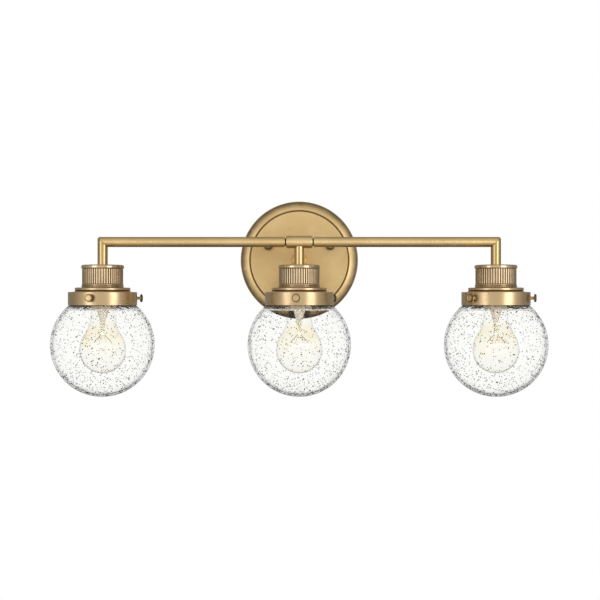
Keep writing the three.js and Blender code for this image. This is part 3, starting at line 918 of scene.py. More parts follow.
# ---------------------------------------------------------------------------------- the light
@dataclass
class WallSide:
    """Canopy, its nuts and studs, the mounting plate and the arm."""

    canopy_r: float = 76.3
    depth: float = 20.0
    sheet: float = 1.2
    groove_r: float = 63.9
    band_drop: float = 2.6
    boss_r: float = 10.5
    boss_height: float = 9.0
    nut_height: float = 10.0
    plate: float = 2.0
    plate_r: float = 54.0
    wire_hole_r: float = 20.0
    stud: Point = (40.0, 19.2)
    stud_r: float = 2.05
    ground: Point = (0.0, -34.0)
    out: Axis = field(default_factory=lambda: Axis(Vector((0, 0, 0)), FRONT, RIGHT))

    @staticmethod
    def _axis_at(x: float, z: float) -> Axis:
        """An axis that points out of the wall at a place on it, in millimetres."""
        return Axis(Vector((x * MM, 0, z * MM)), FRONT, RIGHT)

    def canopy(self, brass: bpy.types.Material) -> None:
        """Spun dish with a sloped outer band and a turned groove."""
        edge = self.depth - self.band_drop
        hole = PIPE_R + GAP
        face, inner = self.depth, self.depth - self.sheet
        outline = rounded([
            (self.canopy_r - 0.25, 0.0, 0.1),
            (self.canopy_r, 0.6, 0.4),
            (self.canopy_r, edge - 0.2, 2.2),
            (self.groove_r + 1.3, face - 0.05, 0.7),
            (self.groove_r + 0.45, face - 0.8, 0.2),
            (self.groove_r - 0.45, face - 0.8, 0.2),
            (self.groove_r - 1.3, face, 0.7),
            (hole, face, 0.2),
            (hole, inner, 0.1),
            (self.groove_r - 2.0, inner, 0.8),
            (self.groove_r, inner - 0.9, 0.5),
            (self.canopy_r - self.sheet - 1.2, edge - 1.6, 1.6),
            (self.canopy_r - self.sheet, 0.0, 0.1),
        ], 5)

        def age(r: float, h: float, angle: float) -> float:
            """Dark in the bottom of the groove and inside the dish."""
            in_groove = abs(r - self.groove_r) < 0.7 and h > inner
            return 0.9 if in_groove or h < inner + 0.3 and r < self.canopy_r - 0.8 else 0.0
        made = turned("canopy_spun", outline, self.out, 192, age=age)
        fit(made, brass, "root", "aged_brass", "canopy")

    def boss(self, brass: bpy.types.Material) -> None:
        """Trumpet collar between the canopy and the arm."""
        foot = self.depth + GAP
        top = foot + self.boss_height
        curve = [(7.3 + 3.2 * (1 - math.sin(a)) ** 1.4, foot + 1.3 + 7.2 * math.sin(a))
                 for a in (math.pi / 2 * k / 12 for k in range(13))]
        hole = PIPE_R + GAP
        outline = [(hole, foot), (self.boss_r - 0.2, foot), (self.boss_r, foot + 0.25),
                   (self.boss_r, foot + 1.1), *curve, (7.3, top - 0.2), (7.1, top), (hole, top)]
        made = turned("canopy_boss_turned", outline, self.out, 72)
        fit(made, brass, "root", "aged_brass", "canopy_boss")

    def arm(self, brass: bpy.types.Material) -> None:
        """Straight tube from the boss, coped to the back of the middle stem."""
        start = self.depth + self.boss_height + 2 * GAP
        room = TUBE_R + GAP
        made = tube("arm_tube_drawn", self.out, TUBE_R, TUBE_BORE_R, lambda x, y: start,
                    lambda x, y: REACH - math.sqrt(max(room ** 2 - x ** 2, 0.0)), 64, 0.1)
        fit(made, brass, "root", "aged_brass", "arm_tube")

    def cap_nut(self, side: str, sign: int, brass: bpy.types.Material) -> None:
        """Round cap nut with a waisted foot and a slightly domed face."""
        foot = self.depth + GAP
        face = foot + self.nut_height
        axis = self._axis_at(sign * self.stud[0], self.stud[1])
        dome = [(6.3 * math.sin(a), face - 0.9 + 1.25 * math.cos(a)) for a in
                (math.radians(d) for d in (64, 48, 32, 16))]
        outline = [(0.0, foot + 7.8), (2.35, foot + 7.4)] + rounded([
            (2.35, foot, 0.1), (5.1, foot, 0.25), (5.1, foot + 1.7, 0.5), (6.3, foot + 2.9, 0.6),
            (6.3, face - 1.1, 0.8),
        ]) + dome + [(0.0, face + 0.38)]

        def age(r: float, h: float, angle: float) -> float:
            """Painted shade: dark round the side and the edge, and a little less dark over the face.
            """
            return 0.98 if h < face - 0.2 or r > 4.6 else 0.6
        made = turned(f"cap_nut_{side}_turned", outline, axis, 64, age=age)
        fit(made, brass, f"cap_nut_{side}", "aged_brass", f"cap_nut_{side}")

    def hardware(self, steel: bpy.types.Material, green: bpy.types.Material) -> None:
        """Mounting plate, studs, lamp pipe, locknut and ground screw."""
        x, z = self.stud
        r = self.stud_r
        rings = [circle(0, 0, self.plate_r, 120), circle(0, 0, self.wire_hole_r, 72),
                 circle(*self.ground, 2.2, 24)]
        for sign in (-1, 1):
            low, high = sorted((sign * 33.0, sign * 46.5))
            rings.append(slot_outline(low, high, 2.4))
            rings.append(circle(sign * x, z, self.stud_r + GAP, 24))
        plate = cut_plate("mounting_plate_pressed", rings, self.plate, 0.0, 0.25)
        fit(plate, steel, "root", "zinc_steel", "mounting_plate")
        for side, sign in OUTER_SIDES:
            axis = self._axis_at(sign * x, z)
            outline = rounded([
                (0, 0.3, 0), (1.7, 0.3, 0), (r, 0.65, 0.1), (r, 2.3, 0), (3.6, 2.3, 0.3),
                (3.6, 4.5, 0.4), (r, 4.5, 0),
            ]) + [(r, 4.5 + 0.13 * k) for k in range(1, 171)] + [(1.8, 27.0), (0, 27.0)]
            stud = turned(f"canopy_stud_{side}_threaded", outline, axis, 28,
                          thread(r, 0.28, 0.79, 5.0, 26.6))
            fit(stud, steel, "root", "zinc_steel", f"canopy_stud_{side}")
        pipe = threaded_pipe("canopy_nipple_threaded", self.out, 11.0, 44.0)
        fit(pipe, steel, "root", "zinc_steel", "canopy_nipple")
        nut = hex_nut("canopy_nipple_nut_cut", self.out, 15.0, 18.5)
        fit(nut, steel, "root", "zinc_steel", "canopy_nipple_nut")
        outline = rounded([(0, 0.3, 0), (1.6, 0.3, 0), (1.9, 0.6, 0), (1.9, 2.3, 0), (4.0, 2.3, 0.2),
                           (4.0, 3.6, 0.9), (2.8, 4.7, 1.0)]) + [(0.0, 4.7)]
        screw = turned("ground_screw_headed", outline, self._axis_at(*self.ground), 40)
        fit(screw, green, "root", "green_screw", "ground_screw")


def threaded_pipe(name: str, axis: Axis, low: float, high: float) -> bpy.types.Object:
    """Lamp pipe, threaded from end to end.

    Args:
        name: the piece's name.
        axis: its axis.
        low: height of its lower end in millimetres.
        high: height of its upper end.

    Returns:
        The object.
    """
    bevel = 0.4
    outline = [(PIPE_BORE_R, low), (PIPE_R - bevel, low), (PIPE_R, low + bevel),
               (PIPE_R, high - bevel), (PIPE_R - bevel, high), (PIPE_BORE_R, high)]
    outline = closer(outline, low + bevel, high - bevel, 0.19, PIPE_R - 0.05)
    cut = thread(PIPE_R, 0.42, 0.94, low + bevel, high - bevel)
    return turned(name, outline, axis, 36, cut, 60.0, False)


def hex_nut(name: str, axis: Axis, low: float, high: float) -> bpy.types.Object:
    """Hexagon locknut with chamfered corners.

    Args:
        name: the piece's name.
        axis: its axis.
        low: height of its lower face in millimetres.
        high: height of its upper face.

    Returns:
        The object.
    """
    half_across = 6.93

    def flats(r: float, h: float, angle: float) -> float:
        """Pull the round outside in to six flats."""
        if r < 6.0:
            return r
        off = (angle + math.pi / 6) % (math.pi / 3) - math.pi / 6
        return min(r, half_across / math.cos(off))
    hole = PIPE_R + GAP
    outline = [(hole, low), (7.1, low), (7.9, low + 0.5), (7.9, high - 0.5), (7.1, high), (hole, high)]
    return turned(name, outline, axis, 96, flats, 20.0)


@dataclass
class Bar:
    """Tee, bar tubes, necks and stems. Heights are measured from the bar axis."""

    tee_r: float = 7.7
    tee_half: float = 16.15
    neck: float = 1.6
    stem_end: float = -28.0
    filed_from: float = 4.7
    filed_slope: float = 0.75

    def tee(self, brass: bpy.types.Material) -> None:
        """Sleeve with softened chamfers."""
        outline = rounded([
            (5.2, -self.tee_half, 0.1), (self.tee_r - 0.75, -self.tee_half, 0.15),
            (self.tee_r, -self.tee_half + 1.7, 0.35), (self.tee_r, self.tee_half - 1.7, 0.35),
            (self.tee_r - 0.75, self.tee_half, 0.15), (5.2, self.tee_half, 0.1),
        ])
        axis = Axis(BAR_AXIS, RIGHT, UP)
        made = turned("tee_fitting_turned", outline, axis, 80)
        fit(made, brass, "root", "aged_brass", "tee_fitting")

    def arm_tube(self, side: str, sign: int, brass: bpy.types.Material,
                 steel: bpy.types.Material) -> None:
        """Bar tube with a mitred outer end, and the threaded neck that joins it to the tee."""
        axis = Axis(BAR_AXIS, RIGHT * sign, UP)
        start = self.tee_half + self.neck
        corner = PITCH - GAP / 2
        made = tube(f"bar_tube_{side}_drawn", axis, TUBE_R, TUBE_BORE_R, lambda x, y: start,
                    lambda x, y: corner + x - self._filed(x), 72, 0.22)
        fit(made, brass, "root", "aged_brass", f"bar_tube_{side}")
        neck = threaded_pipe(f"bar_nipple_{side}_threaded", axis, self.tee_half - 8, start + 10)
        fit(neck, steel, "root", "zinc_steel", f"bar_nipple_{side}")

    def _filed(self, out: float) -> float:
        """How much the mitre's outer corner is filed away at a distance out from the axis."""
        return self.filed_slope * max(0.0, out - self.filed_from)

    def stem(self, side: str, sign: int, brass: bpy.types.Material) -> None:
        """Stem from the mitre or from the tee down to the cup."""
        axis = Axis(BAR_AXIS + RIGHT * (sign * PITCH * MM), UP, RIGHT)
        room = self.tee_r + GAP

        def top(x: float, y: float) -> float:
            """Height of the stem's top across the stem."""
            if sign:
                return -GAP / 2 + sign * x - self._filed(sign * x)
            return -math.sqrt(room ** 2 - y ** 2)
        made = tube(f"stem_{side}_drawn", axis, TUBE_R, TUBE_BORE_R,
                    lambda x, y: self.stem_end, top, 72, 0.22)
        fit(made, brass, "root", "aged_brass", f"stem_{side}")


@dataclass
class Lamp:
    """One lamp under its stem: cup, shade holder, screws, socket, lamp and globe."""

    side: str
    x: float
    seed: int
    reeds: int = 50
    reed_crest: float = 24.95
    reed_root: float = 24.3
    reed_top: float = -32.6
    reed_foot: float = -52.1
    reed_run_out: float = 0.9
    screw_height: float = -68.9
    glow_height: float = -124.0
    globe_r: float = 63.5
    globe_centre: float = -126.3
    wall: float = 2.4
    neck_r: float = 39.2
    neck_wall: float = 2.6
    neck_top: float = -65.0
    neck_foot: float = -72.5
    thick_from: float = -84.0
    even_above: float = -76.0
    bulb_r: float = 28.5
    bulb_bottom: float = -161.1
    screw_base_pitch: float = 3.63
    seeds: int = 1350
    seed_tilt: Point = (55, 16)
    seed_size: float = 0.43
    seed_sizes: Point = (0.3, 0.62)
    seed_stretch: Point = (1.2, 2.0)
    seed_depth: float = 0.55

    def __post_init__(self) -> None:
        """Set the lamp's own axis."""
        self.foot = BAR_AXIS + RIGHT * (self.x * MM)
        self.axis = Axis(self.foot, UP, FRONT)

    def _reed(self, angle: float) -> float:
        """Height of the reeding at an angle, from 0 in a groove to 1 on a crest."""
        return abs(math.cos(self.reeds * angle / 2)) ** 0.75

    def _reeding(self, r: float, h: float, angle: float) -> float:
        """Round reeds with narrow grooves between them, which run out at both ends."""
        if abs(r - self.reed_crest) > 0.05 or not self.reed_foot - 0.1 < h < self.reed_top + 0.1:
            return r
        from_end = min(h - self.reed_foot, self.reed_top - h)
        full = 1 - max(0.0, 1 - from_end / self.reed_run_out) ** 2
        return self.reed_root + (self.reed_crest - self.reed_root) * self._reed(angle) * full

    def _cup_shade_and_patina(self, r: float, h: float, angle: float) -> float:
        """Patina with painted shade between the reeds and well up their flanks, in the grooves beside
        the beads and inside the cup.
        """
        if r < 23.5:
            return 0.9
        if self.reed_foot - 0.05 <= h <= self.reed_top + 0.05 and abs(r - self.reed_crest) < 0.05:
            return max(0.0, 1.0 - self._reed(angle) / 0.93) ** 0.4
        return 0.8 if abs(h + 53.4) < 0.35 or h < -55.0 else 0.0

    def cup(self, brass: bpy.types.Material, steel: bpy.types.Material) -> None:
        """Reeded socket cup with a head bead and a foot bead."""
        bore = 22.45
        outline = rounded([
            (5.15, -28.3, 0.1), (5.15, -29.9, 0.1), (bore, -29.9, 0.8), (bore, -55.7, 0.2),
            (25.5, -55.7, 0.35), (25.85, -54.4, 0.6), (25.25, -53.7, 0.3), (25.25, -53.4, 0.3),
            (25.75, -52.9, 0.4), (25.6, self.reed_foot, 0.3), (self.reed_crest, self.reed_foot, 0.0),
            (self.reed_crest, self.reed_top, 0.0), (25.8, self.reed_top, 0.35), (26.1, -31.8, 0.7),
            (26.1, -29.6, 1.0), (24.9, -28.3, 1.0),
        ], 4)
        outline = closer(outline, self.reed_foot, self.reed_top, 1.1, self.reed_crest - 0.01)
        run_out = (0.15, 0.35, 0.6, self.reed_run_out)
        ends = [self.reed_foot + d for d in run_out] + [self.reed_top - d for d in run_out]
        outline = self._with_heights(outline, ends)
        made = turned(f"cup_{self.side}_reeded", outline, self.axis, self.reeds * 10, self._reeding,
                      age=self._cup_shade_and_patina)
        fit(made, brass, "root", "aged_brass", f"cup_{self.side}")
        nipple = threaded_pipe(f"stem_nipple_{self.side}_threaded", self.axis, -46.5, -23.5)
        fit(nipple, steel, "root", "zinc_steel", f"stem_nipple_{self.side}")

    def _with_heights(self, outline: list[Point], heights: Sequence[float]) -> list[Point]:
        """Add rings at given heights on the reeded wall."""
        wall = [p for p in outline if abs(p[0] - self.reed_crest) < 1e-6
                and self.reed_foot - 1e-6 <= p[1] <= self.reed_top + 1e-6]
        rest_before = outline[:outline.index(wall[0])]
        rest_after = outline[outline.index(wall[-1]) + 1:]
        middle = sorted({round(h, 4) for _, h in wall} | {round(h, 4) for h in heights})
        return rest_before + [(self.reed_crest, h) for h in middle] + rest_after

    def holder(self, brass: bpy.types.Material) -> None:
        """Stepped cap: flange with a cove under it, and the ring for the globe's neck."""
        outline = rounded([
            (19.0, -56.1, 0.2), (19.0, -57.5, 0.2), (31.0, -57.5, 0.8), (31.0, -62.7, 0.5),
            (41.1, -62.7, 0.8), (41.1, -77.6, 0.12), (42.0, -77.6, 0.3), (42.0, -61.5, 0.8),
            (35.3, -61.5, 0.9), (33.6, -60.3, 0.5), (33.0, -59.9, 0.4), (33.8, -59.1, 0.5),
            (33.8, -56.7, 0.9), (32.7, -56.1, 0.6),
        ], 5)

        def age(r: float, h: float, angle: float) -> float:
            """Painted shade inside the ring and in the cove under the flange."""
            if r < 41.3 and h < -62.0 or r < 31.6 and h < -57.0:
                return 1.0
            return 0.95 if -60.4 < h < -59.3 and r < 33.7 else 0.0
        made = turned(f"shade_holder_{self.side}_spun", outline, self.axis, 160, age=age)
        fit(made, brass, "root", "aged_brass", f"shade_holder_{self.side}")

    def thumb_screw(self, letter: str, turn: float, brass: bpy.types.Material) -> None:
        """Thumb screw with a chamfered head and a threaded shank."""
        angle = math.radians(turn)
        outward = Vector((math.sin(angle), -math.cos(angle), 0))
        axis = Axis(self.foot + UP * (self.screw_height * MM), outward, UP)
        tip, inner, end = self.neck_r + 0.45, 47.0, 49.2
        shank = [(2.0, tip + 0.55 + 0.14 * k) for k in range(int((inner - tip - 0.6) / 0.14))]
        outline = [(0.0, tip), (1.5, tip), *shank, (2.0, inner)] + rounded([
            (2.0, inner, 0.0), (4.55, inner, 0.2), (4.9, inner + 0.35, 0.15), (4.9, end - 0.65, 0.2),
            (4.35, end, 0.25), (3.6, end - 0.02, 0.0), (2.9, end - 0.16, 0.3),
        ], 3)[1:] + [(0.0, end - 0.16)]

        def ripple(r: float, h: float, a: float) -> float:
            """Thread on the shank and fine knurling round the head."""
            if h > inner and r > 4.85:
                return r - 0.13 * (0.5 - 0.5 * math.cos(36 * a))
            return thread(2.0, 0.22, 0.7, tip + 0.5, inner - 0.2)(r, h, a)
        name = f"thumb_screw_{self.side}_{letter}"

        def age(r: float, h: float, a: float) -> float:
            """Painted shade round the head and its edge; only a little darkening on its face and on
            the shank.
            """
            return 1.0 if h > inner - 0.1 and r > 4.2 else 0.25
        made = turned(f"{name}_turned", outline, axis, 144, ripple, age=age)
        fit(made, brass, name, "aged_brass", name)

    def socket(self, porcelain: bpy.types.Material, bright: bpy.types.Material) -> None:
        """Porcelain body with a rounded mouth, the threaded shell and the contact tongue."""
        outline = rounded([
            (14.25, -84.0, 0.35), (15.4, -84.0, 0.45), (15.4, -50.0, 1.5), (13.0, -46.0, 1.2),
            (7.6, -45.0, 1.0), (7.6, -38.0, 0.6), (5.15, -38.0, 0.3), (5.15, -50.5, 0.3),
            (14.25, -50.5, 1.2),
        ], 4)
        body = turned(f"socket_body_{self.side}_glazed", outline, self.axis, 80)
        fit(body, porcelain, "root", "porcelain", f"socket_body_{self.side}")
        low, high = -80.0, -57.0
        wall = closer([(13.5, low), (13.95, low), (13.95, high), (13.5, high)], low, high, 0.45, 13.4)

        def ripple(r: float, h: float, a: float) -> float:
            """The rolled thread shows on both faces of the shell."""
            rolled = 0.3 * (0.5 - 0.5 * math.cos(TURN * (h / self.screw_base_pitch - a / TURN)))
            return r - rolled * min(1.0, (h - low) / 1.5, (high - h) / 1.5)
        shell = turned(f"socket_shell_{self.side}_rolled", wall, self.axis, 72, ripple)
        fit(shell, bright, "root", "bright_brass", f"socket_shell_{self.side}")
        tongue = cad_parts[f"socket_contact_{self.side}"]
        tongue.data.materials.clear()
        tongue.data.materials.append(bright)

    def _bulb_outline(self, inset: float, steps: int) -> list[Point]:
        """Half outline of the lamp's glass from the bottom up to the neck."""
        centre = self.bulb_bottom + self.bulb_r
        r = self.bulb_r - inset
        bowl = [(r * math.sin(a), centre - r * math.cos(a))
                for a in (math.radians(96) * k / steps for k in range(steps + 1))]
        taper = ((26.9, -121.8), (24.0, -115.6), (20.4, -110.0), (17.2, -103.2), (15.4, -95.5),
                 (14.6, -88.5), (13.9, -84.2), (12.5, -81.5))
        knots = [Vector((*bowl[-1], 0))] + [Vector((x - inset, h, 0)) for x, h in taper]
        neck = [(p.x, p.y) for p in smooth_path(knots, 5)]
        return bowl + neck[1:]

    def bulb(self, glass: bpy.types.Material, bright: bpy.types.Material, stem: bpy.types.Material,
             lead: bpy.types.Material, glow: bpy.types.Material) -> None:
        """Clear lamp: glass, screw base, glass stem, lead wires and lit filament."""
        body = f"bulb_{self.side}"
        outside = self._bulb_outline(0.0, 28)
        inside = [(max(r, 0.0), h) for r, h in self._bulb_outline(0.8, 28)][::-1]
        inside[-1] = (0.0, inside[-1][1])
        shell = turned(f"bulb_glass_{self.side}_blown", outside + inside, self.axis, 96, None, 60.0,
                       False)
        fit(shell, glass, body, "lamp_glass", f"bulb_glass_{self.side}")
        base = closer([(12.4, -81.2), (13.1, -81.2), (13.1, -60.6)], -81.2, -60.6, 0.4, 13.0)[:-1]
        base += [(12.2, -59.2), (11.1, -58.5), (6.2, -56.0), (5.2, -54.8)]
        base += [(4.9, -54.2), (3.6, -53.55), (0.0, -53.5), (0.0, -60.0), (11.0, -61.1),
                 (12.3, -62.0)]
        made = turned(f"bulb_base_{self.side}_rolled", base, self.axis, 72,
                      thread(13.1, 0.75, self.screw_base_pitch, -80.2, -60.6), 60.0)
        fit(made, bright, body, "bright_brass", f"bulb_base_{self.side}")
        pinch = [(0.0, -113.5), (1.6, -113.2), (2.3, -112.0), (2.5, -108.5), (2.4, -104.0),
                 (3.2, -100.0), (4.4, -94.0), (6.0, -88.0), (7.4, -84.0), (0.0, -84.0)]
        press = turned(f"bulb_stem_{self.side}", pinch, self.axis, 40, None, 60.0, False)
        fit(press, stem, body, "lamp_glass", f"bulb_mount_{self.side}")
        self._leads(body, lead)
        self._filament(body, glow)

    def _at(self, x: float, y: float, h: float) -> Vector:
        """A point of the lamp from its axis, in millimetres."""
        return self.foot + Vector((x, y, h)) * MM

    def _leads(self, body: str, lead: bpy.types.Material) -> None:
        """Two lead wires and two finer support wires."""
        for name, sign in (("left", -1), ("right", 1)):
            bends = ((1.0, -88), (1.1, -100), (1.4, -111), (4.5, -116.5), (9.2, -121.0),
                     (11.0, -124.4))
            knots = [self._at(sign * x, 0, h) for x, h in bends]
            made = wire(f"bulb_lead_{self.side}_{name}", smooth_path(knots, 5), 0.32)
            fit(made, lead, body, "filament")
            knots = [self._at(sign * 0.4, 0.9, -112.5), self._at(sign * 2.2, 1.4, -117.0),
                     self._at(sign * 4.0, 0.8, -121.5), self._at(sign * 4.2, 0.0, -125.8)]
            made = wire(f"bulb_support_{self.side}_{name}", smooth_path(knots, 5), 0.16, 6)
            fit(made, lead, body, "filament")

    def _filament(self, body: str, glow: bpy.types.Material) -> None:
        """Coiled filament that hangs between the leads."""
        coil = []
        turns, steps = 46, 8
        for k in range(turns * steps + 1):
            t = k / (turns * steps)
            across = -11.0 + 22.0 * t
            sag = -124.6 - 3.2 * abs(math.sin(1.5 * math.pi * t)) ** 0.8
            a = TURN * k / steps
            coil.append(self._at(across, 0.55 * math.cos(a), sag + 0.55 * math.sin(a)))
        fit(wire(f"bulb_filament_{self.side}", coil, 0.13, 5), glow, body, "filament")

    def _globe_outline(self, inset: float, neck: float, steps: int) -> list[Point]:
        """Half outline of the globe from the bottom up to the neck's foot, with a soft shoulder."""
        r = self.globe_r - inset
        last = math.pi - math.asin(neck / r)
        bowl = [(r * math.sin(last * k / steps), self.globe_centre - r * math.cos(last * k / steps))
                for k in range(steps + 1)]
        turn = [p for p in bowl if p[1] < bowl[-1][1] - 2.2]
        return turn + [(neck + 0.75, bowl[-1][1] - 0.6), (neck + 0.1, bowl[-1][1] + 0.6),
                       (neck, bowl[-1][1] + 2.0)]

    def globe(self, glass: bpy.types.Material, seeds: bpy.types.Material) -> None:
        """Blown globe with a slightly uneven wall, and the seeds in it."""
        outside = self._globe_outline(0.05, self.neck_r, 72)
        bore, top = self.neck_r - self.neck_wall, self.neck_top
        inside = self._globe_outline(self.wall, bore, 72)
        rim = [(self.neck_r, top - 1.0), (self.neck_r - 0.35, top - 0.2), (self.neck_r - 1.3, top),
               (bore + 0.35, top - 0.2), (bore, top - 1.0)]
        neck = [(self.neck_r, self.neck_foot), *rim, (bore, self.neck_foot)]
        outline = outside + neck + inside[::-1]
        outline[-1] = (0.0, outline[-1][1])
        shift = self.seed * 3.7

        def uneven(r: float, h: float, angle: float) -> float:
            """Slow waves in the inner face, as blown glass has."""
            on_inside = math.hypot(r, h - self.globe_centre) < self.globe_r - 1.2
            if not on_inside or h > self.even_above:
                return r
            here = Vector((r * math.cos(angle), r * math.sin(angle), h)) * 0.045
            share = min(1.0, r / 14.0)
            rise = max(0.0, (h - self.thick_from) / 7.0)
            thick = rise ** 2 * (1.7 + 2.0 * noise.noise(here * 4.0))
            return r + share * 0.16 * noise.noise(here + Vector((shift, 0, 0))) - max(0.0, thick)
        body = f"globe_{self.side}"
        made = turned(f"globe_{self.side}_blown", outline, self.axis, 144, uneven, 60.0, False)
        fit(made, glass, body, "seeded_glass", f"globe_{self.side}")
        fit(self._seeds(f"globe_{self.side}_seeds"), seeds, body, "seeded_glass")

    def _seeds(self, name: str) -> bpy.types.Object:
        """Small drawn-out air bubbles spread through the wall.

        Args:
            name: the piece's name.

        Returns:
            The object, all bubbles in one mesh.
        """
        chance = random.Random(self.seed)
        ball = bmesh.new()
        bmesh.ops.create_icosphere(ball, subdivisions=2, radius=1.0)
        template = [v.co.copy() for v in ball.verts]
        facets = [[v.index for v in f.verts] for f in ball.faces]
        ball.free()
        points: list[Vector] = []
        faces: list[list[int]] = []
        centre = self.foot + UP * (self.globe_centre * MM)
        top = (self.neck_top - 9.0 - self.globe_centre) / self.globe_r
        while len(points) < self.seeds * len(template):
            height = chance.uniform(-1.0, 1.0)
            around = chance.uniform(0, TURN)
            keep = 0.55 + 0.45 * abs(height)
            if height > top - 0.06 or chance.random() > keep:
                continue
            flat = math.sqrt(1 - height * height)
            out = Vector((flat * math.cos(around), flat * math.sin(around), height))
            level = UP.cross(out)
            level = level.normalized() if level.length > 1e-3 else RIGHT.copy()
            rise = out.cross(level)
            tilt = math.radians(chance.gauss(*self.seed_tilt))
            long_way = level * math.cos(tilt) + rise * math.sin(tilt)
            short_way = out.cross(long_way)
            size = chance.lognormvariate(math.log(self.seed_size), 0.22)
            size = min(self.seed_sizes[1], max(self.seed_sizes[0], size))
            stretch = chance.uniform(*self.seed_stretch)
            r = self.globe_r - self.wall / 2 + chance.uniform(-0.4, 0.4)
            here = centre + out * (r * MM)
            first = len(points)
            for v in template:
                points.append(here + (long_way * (v.x * size * stretch) + short_way * (v.y * size)
                                      + out * (v.z * min(size, self.seed_depth))) * MM)
            faces += [[first + i for i in f] for f in facets]
        return mesh_object(name, points, faces, 180.0, False)


# ---------------------------------------------------------------------------------- the studio
@dataclass
class Studio:
    """White surround, soft lights, pale floor and the camera."""

    distance: float = 1.5
    lens: float = 73.33
    sensor: float = 36.0
    bar_y: float = -REACH * MM
    light_distance: float = 1.7
    room: float = 0.29
    front_glow: float = 0.50
    low_shade: float = 0.26
    through_glass: float = 0.08

    def world(self) -> None:
        """White to the camera and through glass; a dim room with a soft front for reflections."""
        world = bpy.data.worlds.new("white_studio")
        world.use_nodes = True
        bpy.context.scene.world = world
        graph = Graph(world.node_tree)
        toward = graph.node("ShaderNodeTexCoord", out="Generated")
        ahead = graph.dot(toward, (0.0, -1.0, 0.0))
        _, _, rise = graph.split(toward)
        level = (self.room + graph.step(ahead, -0.35, 1.05) * self.front_glow
                 - graph.step(rise, -0.2, -0.9) * self.low_shade)
        behind = self.through_glass + graph.step(ahead, -0.3, -0.9) * (1.0 - self.through_glass)
        path = graph.node("ShaderNodeLightPath", out="Is Camera Ray")
        sockets = path.socket.node.outputs
        through = Signal(graph, sockets["Is Transmission Ray"])
        matt = Signal(graph, sockets["Is Diffuse Ray"])
        white = graph.larger(path, matt)
        bent = through * (1.0 - white)
        strength = level * (1.0 - white) * (1.0 - bent) + behind * bent + white
        tint = graph.blend(graph.larger(white, bent), (1.0, 0.99, 1.0), WHITE)
        graph.surface(graph.node("ShaderNodeBackground", None, {"Color": tint, "Strength": strength}))

    @staticmethod
    def _hidden_light(name: str, data: bpy.types.Light) -> bpy.types.Object:
        """Add a light that neither the camera nor glass shows."""
        light = bpy.data.objects.new(name, data)
        light.visible_camera = False
        light.visible_transmission = False
        bpy.context.scene.collection.objects.link(light)
        return light

    def softbox(self, name: str, azimuth: float, height: float, size: Point, radiance: float) -> None:
        """A large soft light aimed at the middle lamp.

        Args:
            name: the light's name.
            azimuth: degrees from the front towards the right.
            height: metres above the bar.
            size: width and height in metres.
            radiance: how bright its face is.
        """
        data = bpy.data.lights.new(name, "AREA")
        data.shape = "RECTANGLE"
        data.size, data.size_y = size
        data.energy = radiance * math.pi * size[0] * size[1]
        data.color = (0.97, 1.0, 1.08)
        light = self._hidden_light(name, data)
        a = math.radians(azimuth)
        ahead = self.light_distance * math.cos(a)
        light.location = (self.light_distance * math.sin(a), self.bar_y - ahead, height)
        aim = Vector((0, self.bar_y, -0.05)) - light.location
        light.rotation_euler = aim.to_track_quat("-Z", "Y").to_euler()

    def lamplight(self, sign: int) -> None:
        """The faint warm light of a lit filament on the socket round it.

        Args:
            sign: -1 for the left lamp, 0 for the middle one, 1 for the right one.
        """
        data = bpy.data.lights.new("lamplight", "POINT")
        data.energy = 0.11
        data.color = (1.0, 0.86, 0.62)
        data.shadow_soft_size = 0.008
        light = self._hidden_light("lamplight", data)
        light.location = (sign * PITCH * MM, self.bar_y, -0.105)
        light.visible_glossy = False

    def floor(self) -> None:
        """A pale round floor well below the light."""
        outline = [(0.0, -0.5), (560.0, -0.5), (560.0, 0.0), (0.0, 0.0)]
        axis = Axis(Vector((0, self.bar_y, -0.62)), UP, FRONT)
        made = turned("floor", outline, axis, 128)
        made.visible_glossy = False
        made.data.materials.append(PaleFloor().material())

    def camera(self) -> None:
        """Level camera in front of the bar."""
        data = bpy.data.cameras.new("camera")
        data.lens = self.lens
        data.sensor_width = self.sensor
        data.shift_y = 0.0079
        camera = bpy.data.objects.new("camera", data)
        camera.location = (0.0009, self.bar_y - self.distance, -0.058)
        camera.rotation_euler = (math.pi / 2, 0, 0)
        bpy.context.scene.collection.objects.link(camera)
        bpy.context.scene.camera = camera


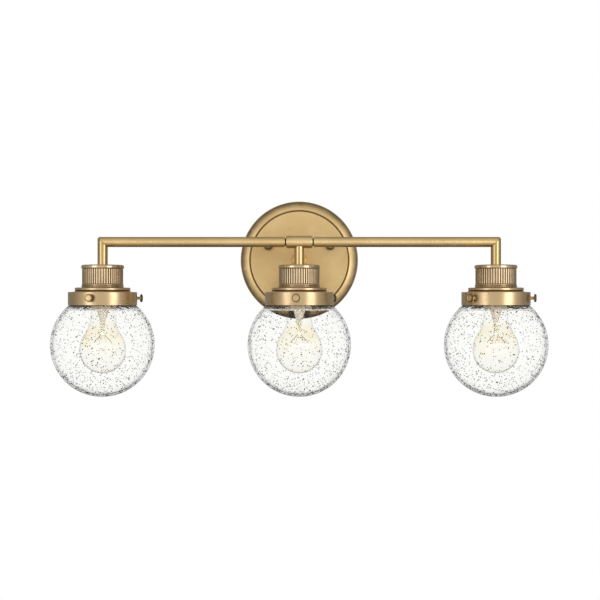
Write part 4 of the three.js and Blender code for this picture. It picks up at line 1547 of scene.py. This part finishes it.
def build_light() -> None:
    """Build and dress every piece of the light."""
    steel = PlatedSteel("zinc_plate", (0.62, 0.63, 0.64), (0.50, 0.50, 0.50)).material()
    green = PlatedSteel("green_paint", (0.05, 0.20, 0.08), (0.03, 0.13, 0.05), 0.1, 0.4).material()
    # Painted shade: the bar necks are steel coloured dark brown for the shade in the narrow gaps they
    # sit in.
    dark = PlatedSteel("dark_neck", (0.20, 0.14, 0.08), (0.12, 0.09, 0.06), 1.0, 0.45).material()
    lead = PlatedSteel("lead_wire", (0.52, 0.40, 0.28), (0.36, 0.27, 0.18), 1.0, 0.35).material()
    bright = AgedBrass("bright_brass", Lay.RINGS_ABOUT_Z, (0.86, 0.66, 0.34),
                       (0.92, 0.75, 0.45)).material()
    disc = AgedBrass("brass_spun_disc", Lay.RINGS_ABOUT_Y).material()
    drawn_bar = AgedBrass("brass_bar", Lay.RINGS_ABOUT_X, spread=2.2).material()
    # Painted shade: the stem, ring and reed brasses are darker copies of the same brass, toning down
    # how brightly these parts catch the lights.
    drawn_stem = AgedBrass("brass_stem", Lay.RINGS_ABOUT_Z, (0.60, 0.42, 0.18), (0.66, 0.475, 0.22),
                           roughness=0.20).material()
    ring = AgedBrass("brass_ring", Lay.RINGS_ABOUT_Z, (0.66, 0.475, 0.25), (0.73, 0.54, 0.30),
                     roughness=0.30).material()
    reeded = AgedBrass("brass_reeds", Lay.RINGS_ABOUT_Z, (0.66, 0.48, 0.27), (0.78, 0.585, 0.345),
                       roughness=0.13, spread=0.05).material()
    screw = AgedBrass("brass_screw", Lay.EVEN, spread=0.1).material()
    porcelain = Porcelain().material()
    globe_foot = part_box("globe_middle")[0][2]
    globe_glass = BlownGlass("seeded_globe_glass", -64.5 * MM, globe_foot).material()
    seeds = SeedFinish().material()
    press = PressGlass().material()
    glow = Glow().material()

    wall = WallSide()
    wall.canopy(disc)
    wall.boss(disc)
    wall.arm(disc)
    for side, sign in OUTER_SIDES:
        wall.cap_nut(side, sign, screw)
    wall.hardware(steel, green)

    bar = Bar()
    bar.tee(drawn_bar)
    for side, sign in OUTER_SIDES:
        bar.arm_tube(side, sign, drawn_bar, dark)
    for side, sign in SIDES:
        bar.stem(side, sign, drawn_stem)

    for (side, sign), azimuth, seed in zip(SIDES, (-11, -5, -49), (11, 23, 37)):
        lamp = Lamp(side, sign * PITCH, seed)
        lamp.cup(reeded, steel)
        lamp.holder(ring)
        for i, letter in enumerate("abc"):
            lamp.thumb_screw(letter, azimuth + 120 * i, screw)
        lamp.socket(porcelain, bright)
        glow_at = lamp.foot + UP * (lamp.glow_height * MM)
        clear = LampGlass(f"lamp_glass_{side}", glow_at).material()
        lamp.bulb(clear, bright, press, lead, glow)
        lamp.globe(globe_glass, seeds)


def main() -> None:
    """Build the light and the studio."""
    logging.basicConfig(level=logging.INFO, format="%(message)s")
    bpy.context.scene.view_settings.view_transform = "Standard"
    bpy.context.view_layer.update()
    build_light()
    studio = Studio()
    studio.world()
    studio.softbox("left_softbox", -42, 0.05, (0.65, 0.75), 1.35)
    studio.softbox("right_softbox", 40, 0.05, (0.75, 0.75), 2.3)
    for _, sign in SIDES:
        studio.lamplight(sign)
    studio.floor()
    studio.camera()


if __name__ == "__main__":
    main()
